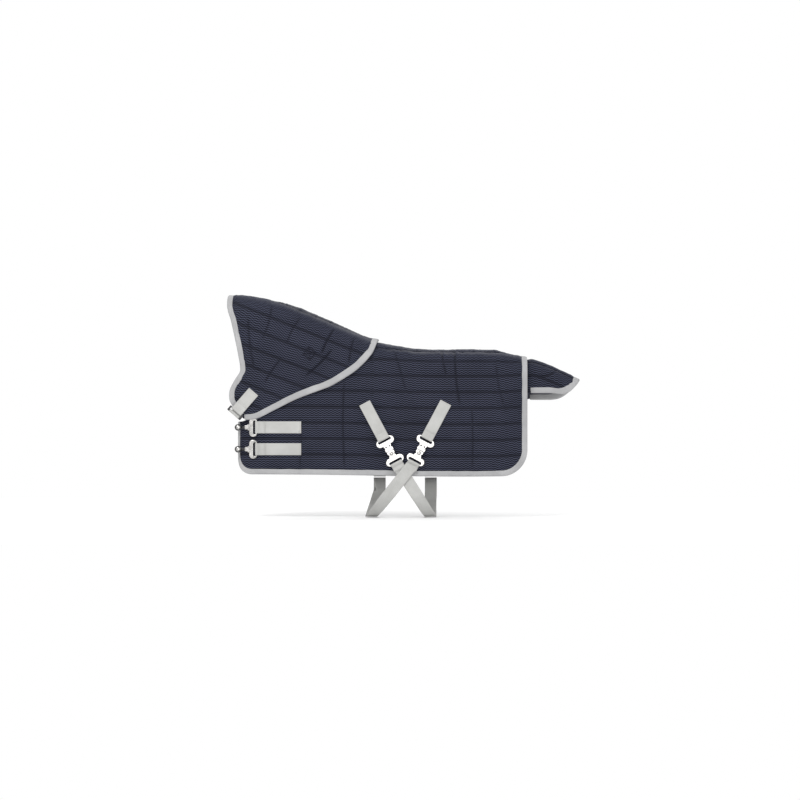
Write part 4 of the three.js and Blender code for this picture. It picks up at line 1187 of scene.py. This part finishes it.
for part, seed in (("front", 221), ("rear", 231)):
    place = stud_places[part]
    middle, out = belly_route(place.origin, BELLY[part])
    nodes = [f"belly_strap_{part}"]
    main = strap(f"belly_strap_web_{part}", middle, out, "belly_straps", nodes=nodes, seed=seed)
    eye = eye_strap(f"belly_strap_eye_{part}", place, 22, 30, "belly_straps", [], seed + 1)
    x = BELLY[part]["anchor"]
    lining_y = float(half_width(x)) - THICKNESS - 5
    patch_z = [PIVOT_Z + 2, HEM_Z + 30, HEM_Z + 70, HEM_Z + 120]
    patch_y = [OFF_PLANE, OFF_PLANE, lining_y, lining_y]
    z = np.linspace(patch_z[0], patch_z[-1], 50)
    patch = np.stack([np.full(50, x), np.interp(z, patch_z, patch_y), z], axis=1)
    strap(f"belly_anchor_web_{part}", patch, np.tile([0, 1.0, 0], (50, 1)), "rug_body",
          nodes=[f"belly_anchor_{part}"], seed=seed + 3)
    print(main.name, "lowest", round(float(middle[:, 2].min()), 1), "mm")

# %% [markdown]
# The clasps are cast and plated. A rounded ring holds the webbing, and a shaped link joins it
# to the other half. All are flat castings with softened edges, which a filled 2-D curve with a
# bevel makes well, holes included.
# %% Rings and castings
def stadium(start, end, half, points=14):
    radius = (end - start) / 2
    middle = (start + end) / 2
    upper = np.linspace(math.pi, 0, points)
    lower = np.linspace(0, -math.pi, points)
    top = np.stack([middle + radius * np.cos(upper), half - radius + radius * np.sin(upper)], axis=1)
    low = np.stack([middle + radius * np.cos(lower), radius - half + radius * np.sin(lower)], axis=1)
    bar_up = np.linspace(radius - half, half - radius, 9)[1:-1]
    first = np.stack([np.full(7, start), bar_up], axis=1)
    last = np.stack([np.full(7, end), bar_up[::-1]], axis=1)
    return np.concatenate([top, last, low, first])


def circle(x, z, radius, points=28):
    angles = np.linspace(0, 2 * math.pi, points + 1)[:-1]
    return np.stack([x + radius * np.cos(angles), z + radius * np.sin(angles)], axis=1)


def cast(name, place, height, outlines, thick, bevel, body, slot, material, nodes=()):
    curve = bpy.data.curves.new(name, "CURVE")
    curve.dimensions = "2D"
    curve.fill_mode = "BOTH"
    curve.extrude = (thick / 2 - bevel) * MM
    curve.bevel_depth = bevel * MM
    curve.bevel_resolution = 3
    curve.offset = -bevel * MM
    for outline in outlines:
        spline = curve.splines.new("POLY")
        spline.points.add(len(outline) - 1)
        for point, (x, z) in zip(spline.points, outline):
            point.co = (x * MM, z * MM, 0, 1)
        spline.use_cyclic_u = True
    drawn = bpy.data.objects.new(name + "_outline", curve)
    bpy.context.scene.collection.objects.link(drawn)
    bpy.context.view_layer.update()
    mesh = bpy.data.meshes.new_from_object(drawn.evaluated_get(bpy.context.evaluated_depsgraph_get()))
    bpy.data.objects.remove(drawn)
    flat = np.array([v.co for v in mesh.vertices]) / MM
    bpy.data.curves.remove(curve)
    points = place.at(flat[:, 0], height - flat[:, 2], flat[:, 1]) * MM
    mesh.vertices.foreach_set("co", points.astype(np.float32).ravel())
    mesh.materials.clear()
    mesh.materials.append(material)
    mesh.update()
    piece = bpy.data.objects.new(name, mesh)
    bpy.context.scene.collection.objects.link(piece)
    settle(piece, body, slot, *nodes)
    return piece


def dome(name, place, x, height, z, radius, rise, body, slot, material, rim=0.0):
    turns = np.linspace(0, 2 * math.pi, 29)[:-1]
    climb = np.linspace(0, math.pi / 2, 8)
    radii = np.concatenate([[radius], radius * np.cos(climb)[:-1], [0.3]])
    lifts = np.concatenate([[0], rim + rise * np.sin(climb)[:-1], [rim + rise]])
    px = x + radii[:, None] * np.cos(turns)
    pz = z + radii[:, None] * np.sin(turns)
    py = height + lifts[:, None] + 0 * px
    rings = place.at(px, py, pz)
    piece = tube(name, rings, rings * 0, material)
    settle(piece, body, slot)
    return piece


BUCKLE_HALF = 40.0
BUCKLE_LENGTH = 33.0
RING_END = BUCKLE_LENGTH - 4.0


def buckle(name, place, body, nodes):
    """A flat cast ring: a wide outer bar, and a slot for the folded webbing."""
    slot_line = stadium(2.6, 13.6, 28.0, 8)
    outer = stadium(-3.0, RING_END + 1.5, BUCKLE_HALF)
    return cast(name, place, EYE_HEIGHT, [outer, slot_line], 5.4, 2.3, body, "nickel", NICKEL, nodes)


def link_outline(start, end, root, waist, tip):
    side = [(start, root), (start + 7, root), (start + 13, waist), (end - 15, waist)]
    side += [(end - 11, tip), (end - 2, tip), (end, tip - 2.5)]
    return np.array([(x, z) for x, z in side] + [(x, -z) for x, z in reversed(side)], float)


for part in ("front", "rear"):
    place = tab_places[part]
    body = f"belly_keyhole_{part}"
    buckle(f"keyhole_ring_{part}", place, body, [f"belly_keyhole_plate_{part}"])
    holes = [circle(37, 7.5, 2.6, 16), circle(37, -7.5, 2.6, 16)]
    link = [link_outline(RING_END - 2, 57, 17, 14, 18), *holes]
    rib = [stadium(44.5, 53.5, 15)]
    cast(f"keyhole_link_{part}", place, EYE_HEIGHT + 0.4, link, 5.2, 1.3, body, "nickel", NICKEL)
    cast(f"keyhole_rib_{part}", place, EYE_HEIGHT + 3.4, rib, 3.6, 1.5, body, "nickel", NICKEL)
    place = stud_places[part]
    body = f"belly_stud_{part}"
    buckle(f"stud_ring_{part}", place, body, [f"belly_stud_plate_{part}"])
    cast(f"stud_link_{part}", place, EYE_HEIGHT + 0.2, [link_outline(RING_END - 2, 57, 16, 12, 16)], 4.6, 1.3,
         body, "nickel", NICKEL)
    button_base = EYE_HEIGHT + 2.0
    made = dome(f"stud_button_{part}", place, 45.0, button_base, 0.0, 9.0, 3.6, body, "nickel", NICKEL, 1.6)
    print(made.name, "on", body)

# %% [markdown]
# At the chest each strap ends in the same ring. A narrow curved tongue reaches from it round
# the breast to a round knuckle on the middle line, where the two sides meet. A round boss on a
# short stem stands out from each tongue, so that it is seen from the side.
# %% Chest closures
CHEST_LIFT = 2.2
CHEST_BAR_X = CHEST_X + 79
CHEST_WEBBING = 186.0
KNUCKLE_RADIUS = 14.0
chest_places = {}


def chest_place(eye, side):
    rear_x = CHEST_BAR_X + CHEST_WEBBING
    widening = float(half_width(CHEST_BAR_X)) - float(half_width(rear_x))
    along = np.array([-CHEST_WEBBING, side * widening, 0])
    along /= np.linalg.norm(along)
    out = np.array([along[1], -along[0], 0])
    out = -out if out[1] * side < 0 else out
    return Place(eye - out * EYE_HEIGHT, along, out)


for side_name, side in (("near", -1), ("off", 1)):
    for row, seed in (("upper", 301), ("lower", 311)):
        label = f"{row}_{side_name}"
        eye = np.array(JOINTS[f"chest_{label}_open"]["pos_m"]) / MM
        place = chest_place(eye, side)
        chest_places[label] = place
        body = f"chest_clasp_{label}"
        nodes = [f"chest_webbing_{label}"]
        eye_strap(f"chest_web_{label}", place, CHEST_WEBBING, 38, "rug_body", nodes, seed)
        buckle(f"chest_ring_{label}", place, body, [f"chest_clasp_{label}"])
        turn = np.linspace(0, math.pi / 2, 30)
        radius = CHEST_CURL + EYE_HEIGHT + CHEST_LIFT
        curve_x = CURL_START - radius * np.sin(turn)
        curve_y = side * (CURL_CENTRE + radius * np.cos(turn))
        start = place.at(RING_END - 1.0, EYE_HEIGHT, 0.0)
        line = [start] + [np.array([x, y, eye[2]]) for x, y in zip(curve_x, curve_y) if x < start[0] - 2]
        front_x = curve_x[-1]
        line.append(np.array([front_x, side * 9.0, eye[2]]))
        line = np.array(line)
        way = np.gradient(line, axis=0)
        way /= np.linalg.norm(way, axis=1)[:, None]
        outward = np.cross(way, [0, 0, 1.0]) * side
        # The tongue, knuckle, boss and stem take the darker nickel, a painted dark reflection.
        strap(f"chest_tongue_{label}", line, outward, body, "nickel", PAINTED_REFLECTION_NICKEL, width=12, thick=3.4,
              seed=seed, waver=0)
        centre = np.array([front_x + KNUCKLE_RADIUS - 1, side * 0.3, eye[2]])
        hub = Place(centre, (1, 0, 0), (0, side, 0))
        knuckle = [circle(0, 0, KNUCKLE_RADIUS), circle(0, 0, 6.5, 20)]
        cast(f"chest_knuckle_{label}", hub, 4.7, knuckle, 8.6, 2.6, body, "nickel", PAINTED_REFLECTION_NICKEL)
        dome(f"chest_button_{label}", hub, 0.0, 1.0, 0.0, 6.9, 3.4, body, "nickel", NICKEL, 4.0)
        rear_cos = math.sqrt(1 - ((radius - 2 * KNUCKLE_RADIUS) / radius) ** 2)
        boss_y = side * (CURL_CENTRE + radius * rear_cos + 1.2)
        boss = Place((front_x + KNUCKLE_RADIUS - 2, boss_y, eye[2]), (1, 0, 0), (0, side, 0))
        cast(f"chest_boss_{label}", boss, 1.5, [circle(0, 0, 14.0), circle(0, 0, 9.0, 20)], 6.0, 2.4,
             body, "nickel", PAINTED_REFLECTION_NICKEL)
        dome(f"chest_boss_button_{label}", boss, 0.0, -2.0, 0.0, 9.6, 4.4, body, "nickel", NICKEL, 3.0)
        stem = [circle(0, 0, 5.0, 20)]
        cast(f"chest_boss_stem_{label}", boss, -6.0, stem, 12.0, 0.5, body, "nickel", PAINTED_REFLECTION_NICKEL)
        root = [link_outline(RING_END - 2, RING_END + 20, 13, 10, 8.5)]
        cast(f"chest_root_{label}", place, EYE_HEIGHT, root, 4.4, 1.2, body, "nickel", NICKEL)
        print(label, "knuckle at", np.round(centre, 1))

# %% [markdown]
# Under the throat a short strap on the neck's near side holds a black moulded ring. A longer
# strap is folded round the ring's other bar, crosses under the throat inside the neck cover
# and is sewn on at the off side.
# %% Throat closure
def cut_corners(low, high, half, cut):
    upper = [(low, half - cut), (low + cut, half), (high - cut, half), (high, half - cut)]
    return np.array(upper + [(x, -z) for x, z in reversed(upper)], float)


throat_place = joint_place("throat_open", NEAR_OUT)
eye_strap("throat_web_near", throat_place, 107, 37, "neck_cover", ["throat_webbing_near"], 401)
outer_ring = cut_corners(-3.0, 20.5, 35.0, 2.0)
inner_ring = cut_corners(2.4, 11.8, 27.5, 1.0)
cast("throat_ring_moulded", throat_place, EYE_HEIGHT, [outer_ring, inner_ring], 5.2, 1.3, "throat_closure",
     "black_plastic", PLASTIC, nodes=["throat_ring"])
throat_plane = -float(throat_place.origin[1])
bar = 15.0
loop_radius = EYE_INNER + WEBBING / 2
turn = np.linspace(0, math.pi / 2, 14)
run_x = bar + loop_radius
off_plane = -2 * throat_plane - WEBBING / 2
wrap = np.linspace(math.pi * 0.92, 0, 24)
wrap_x = bar + loop_radius * np.cos(wrap)
wrap_y = EYE_HEIGHT + loop_radius * np.sin(wrap)
fall_y = np.linspace(EYE_HEIGHT, off_plane + 16, 70)[1:]
bend_x = run_x - 16 * (1 - np.cos(turn))[1:]
bend_y = off_plane + 16 * (1 - np.sin(turn))[1:]
last_x = np.linspace(run_x - 16, -107, 40)[1:]
xs = np.concatenate([wrap_x, np.full(69, run_x), bend_x, last_x])
ys = np.concatenate([wrap_y, fall_y, bend_y, np.full(39, off_plane)])
step_x, step_y = np.gradient(xs), np.gradient(ys)
size = np.hypot(step_x, step_y)
middle = throat_place.at(xs, ys, 0 * xs)
out = (-step_y / size)[:, None] * throat_place.along + (step_x / size)[:, None] * throat_place.out
made = strap("throat_strap_web", middle, out, "throat_closure", nodes=["throat_strap"], seed=411)
print(made.name, "plane", round(throat_plane, 1))

# %% [markdown]
# Stitching is what tells the eye that cloth is sewn. Each stitch is a short rounded thread
# that dips at its ends. They are laid along the seams in one mesh per seam: down the inner
# edge of every binding, along the quilting lines and across the folds of the webbing.
# %% Stitches
def stitches(name, points, out, body, slot, material, size=0.45, length=3.4, gap=1.4, dip=0.5):
    points, out = np.asarray(points, float), np.asarray(out, float)
    steps = np.linalg.norm(np.diff(points, axis=0), axis=1)
    reach = np.concatenate([[0], np.cumsum(steps)])
    count = max(1, int(reach[-1] / (length + gap)))
    starts = (np.arange(count) + 0.5) * reach[-1] / count - length / 2
    marks = starts[:, None] + length * np.linspace(0, 1, 5)[None, :]
    centre = np.stack([np.interp(marks, reach, points[:, k]) for k in range(3)], axis=-1)
    up = np.stack([np.interp(marks, reach, out[:, k]) for k in range(3)], axis=-1)
    way = centre[:, -1] - centre[:, 0]
    way /= np.maximum(np.linalg.norm(way, axis=1), 1e-6)[:, None]
    side = np.cross(way[:, None, :], up)
    side /= np.maximum(np.linalg.norm(side, axis=2), 1e-6)[..., None]
    swell = np.array([0.35, 0.95, 1.0, 0.95, 0.35]) * size
    sink = dip * np.array([1, 0.15, 0, 0.15, 1])
    angles = np.linspace(0, 2 * math.pi, 7)[:-1]
    ring = (centre - up * sink[None, :, None])[:, :, None, :]
    swell = swell[None, :, None, None]
    ring = ring + side[:, :, None, :] * np.cos(angles)[None, None, :, None] * swell
    ring = ring + up[:, :, None, :] * np.sin(angles)[None, None, :, None] * swell
    flat = ring.reshape(-1, 3)
    base = np.arange(count)[:, None, None] * 30
    i, j = np.meshgrid(np.arange(4), np.arange(6), indexing="ij")
    k = (j + 1) % 6
    quad = np.stack([i * 6 + j, (i + 1) * 6 + j, (i + 1) * 6 + k, i * 6 + k], axis=-1).reshape(-1, 4)
    caps = np.array([(0, 1, 2, 3), (0, 3, 4, 5), (27, 26, 25, 24), (29, 28, 27, 24)])
    faces = (base + np.concatenate([quad, caps])[None]).reshape(-1, 4)
    piece = make_piece(name, flat, faces, [material])
    settle(piece, body, slot)
    return piece


def surface_line(place, line, depth):
    on = place(line[:, 0], line[:, 1], depth)
    above = place(line[:, 0], line[:, 1], depth - 1.0)
    out = above - on
    return on, out / np.maximum(np.linalg.norm(out, axis=1), 1e-6)[:, None]


total = 0
for name, line, out, place, body in SEAMS:
    inner_edge = line - out * (BINDING_WIDTH - 3.0)
    inner_edge = inner_edge[3:-3]
    on, up = surface_line(place, inner_edge, 0.75)
    piece = stitches(f"{name}_stitches", on, up, body, "grey_binding", GREY_THREAD)
    total += len(piece.data.polygons) // 28
print(total, "stitches in the bindings")

# %% [markdown]
# The quilting thread is navy and lies at the bottom of each valley, so it is seen mostly as a
# fine broken line that pulls the cloth down.
# %% Quilting thread
THREAD_SIZE = 0.4
THREAD_DEPTH = 3.9


def quilt_threads(label, side):
    pieces = []
    for number in range(8):
        level = FIRST_LINE + number * PITCH
        run = np.linspace(24, PANEL_LENGTH - 24, 500)
        girth = hem_girth(panel_x(run)) - level
        kept = (girth > panel_top(run) + 4) & (edge_gap(run, np.full_like(run, level)) > 22)
        if kept.sum() < 20:
            continue
        line = np.stack([run[kept], girth[kept]], axis=1)
        on, up = surface_line(on_body(side), line, THREAD_DEPTH)
        name = f"quilt_thread_{label}_{number}"
        pieces.append(stitches(name, on, up, "rug_body", "navy_quilt", NAVY_THREAD, THREAD_SIZE))
    return pieces


def neck_threads(label, side):
    pieces = []
    u, v = np.meshgrid(np.linspace(0, 1, 160), np.linspace(0, 1, 160), indexing="ij")
    cloth = neck_cloth(u, v)
    girth = np.maximum(cloth[..., 1], 0)
    level = neck_point(cloth[..., 0], girth, 0, side)[..., 2] + 0.4 * cloth[..., 0]
    for number in range(-4, 5):
        target = NECK_LINE + number * NECK_PITCH
        places = []
        for row in range(6, 154):
            crossing = np.where(np.diff(np.sign(level[row] - target)) != 0)[0]
            if len(crossing):
                j = crossing[0]
                w = (target - level[row, j]) / (level[row, j + 1] - level[row, j])
                place = cloth[row, j] * (1 - w) + cloth[row, j + 1] * w
                if place[1] > 6 and v[row, j] < 0.93:
                    places.append(place)
        if len(places) > 12:
            on, up = surface_line(on_neck(side), np.array(places), THREAD_DEPTH)
            name = f"neck_thread_{label}_{number + 4}"
            pieces.append(stitches(name, on, up, "neck_cover", "navy_quilt", NAVY_THREAD, THREAD_SIZE))
    return pieces


for label, side in (("near", -1), ("off", 1)):
    print(label, len(quilt_threads(label, side)), "body lines,", len(neck_threads(label, side)), "neck lines")

# %% [markdown]
# On the webbing a double row of stitches holds each fold, and one row holds the sewn-down
# end. The thread there is darker than the webbing, so that the rows can be seen. The throat
# strap's fold has a single row.
# %% Stitches on the webbing
def cross_row(name, place, x, height, body, half=WEBBING_WIDTH / 2 - 3.5):
    z = np.linspace(-half, half, 24)
    on = place.at(np.full_like(z, x), np.full_like(z, height), z)
    out = np.tile(place.out, (24, 1))
    return stitches(name, on, out, body, "grey_webbing", GREY_THREAD_DARK, 0.5, 3.0, 1.6)


GREY_THREAD_DARK = thread_cloth("grey_thread_dark", (0.10, 0.10, 0.10), (0.22, 0.22, 0.215))
folded_top = WEBBING * 2 + 0.35
for part in ("front", "rear"):
    place = tab_places[part]
    for number, x in enumerate((-27.0, -30.5)):
        cross_row(f"tab_fold_row_{part}_{number}", place, x, folded_top, "rug_body")
    cross_row(f"tab_end_row_{part}", place, -163.0, WEBBING + 0.1, "rug_body")
    place = stud_places[part]
    for number, x in enumerate((-26.0, -28.5)):
        cross_row(f"strap_fold_row_{part}_{number}", place, x, folded_top, "belly_straps")
for label, place in chest_places.items():
    for number, x in enumerate((-31.0, -34.5)):
        name = f"chest_fold_row_{label}_{number}"
        cross_row(name, place, x, folded_top, "rug_body")
    cross_row(f"chest_end_row_{label}", place, -181.0, WEBBING + 0.1, "rug_body")
cross_row("throat_fold_row", throat_place, -33.0, folded_top, "neck_cover")
cross_row("throat_end_row", throat_place, -101.0, WEBBING + 0.1, "neck_cover")
print("webbing stitched")

# %% [markdown]
# The view is square on to the near side, from far enough away that the rug is seen almost
# flat, with soft light from all round and a plain pale floor.
# %% Camera, light and floor
camera_data = bpy.data.cameras.new("view")
camera_data.lens = 150
camera_data.sensor_width = 36
camera = bpy.data.objects.new("view", camera_data)
bpy.context.scene.collection.objects.link(camera)
camera.location = (-0.228, -13.94, -0.193)
camera.rotation_euler = (math.pi / 2, 0, 0)
bpy.context.scene.camera = camera


def soft_light(name, place, target, size, power):
    data = bpy.data.lights.new(name, "AREA")
    data.shape = "SQUARE"
    data.size = size
    data.energy = power
    lamp = bpy.data.objects.new(name, data)
    bpy.context.scene.collection.objects.link(lamp)
    lamp.location = place
    way = Vector(target) - Vector(place)
    lamp.rotation_euler = way.to_track_quat("-Z", "Y").to_euler()
    return lamp


soft_light("key_light", (-2.2, -3.4, 3.0), (-0.2, 0, -0.2), 1.8, 110)
soft_light("side_light", (3.2, -2.6, 1.6), (-0.2, 0, -0.2), 1.6, 26)
soft_light("fill_light", (-0.2, -3.0, -0.62), (-0.2, 0.1, -0.6), 1.4, 26)
soft_light("back_light", (0.5, 3.4, 2.6), (-0.2, 0, -0.2), 2.0, 40)
world = bpy.data.worlds.new("room")
bpy.context.scene.world = world
world.use_nodes = True
world.node_tree.nodes["Background"].inputs["Color"].default_value = (1, 1, 1, 1)
world.node_tree.nodes["Background"].inputs["Strength"].default_value = 1.0
bpy.context.scene.view_settings.view_transform = "Standard"
floor_paint = Paint("floor")
shade = floor_paint.noise(floor_paint.object_space(), 2.0, 2.0)
floor_colour = floor_paint.mix(shade, (0.86, 0.86, 0.86), (0.88, 0.88, 0.88))
floor_paint.finish(Base_Color=floor_colour, Roughness=0.9)
floor_z = cad_box[0].z / MM - 4
reach = 2600
square = ((-1, -1), (1, -1), (1, 1), (-1, 1))
corners = [(reach * x, reach * y, floor_z) for x, y in square]
floor = make_piece("floor", corners, [(0, 1, 2, 3)], [floor_paint.material])
print("camera", camera.location[:], "floor at", round(floor_z), "mm")
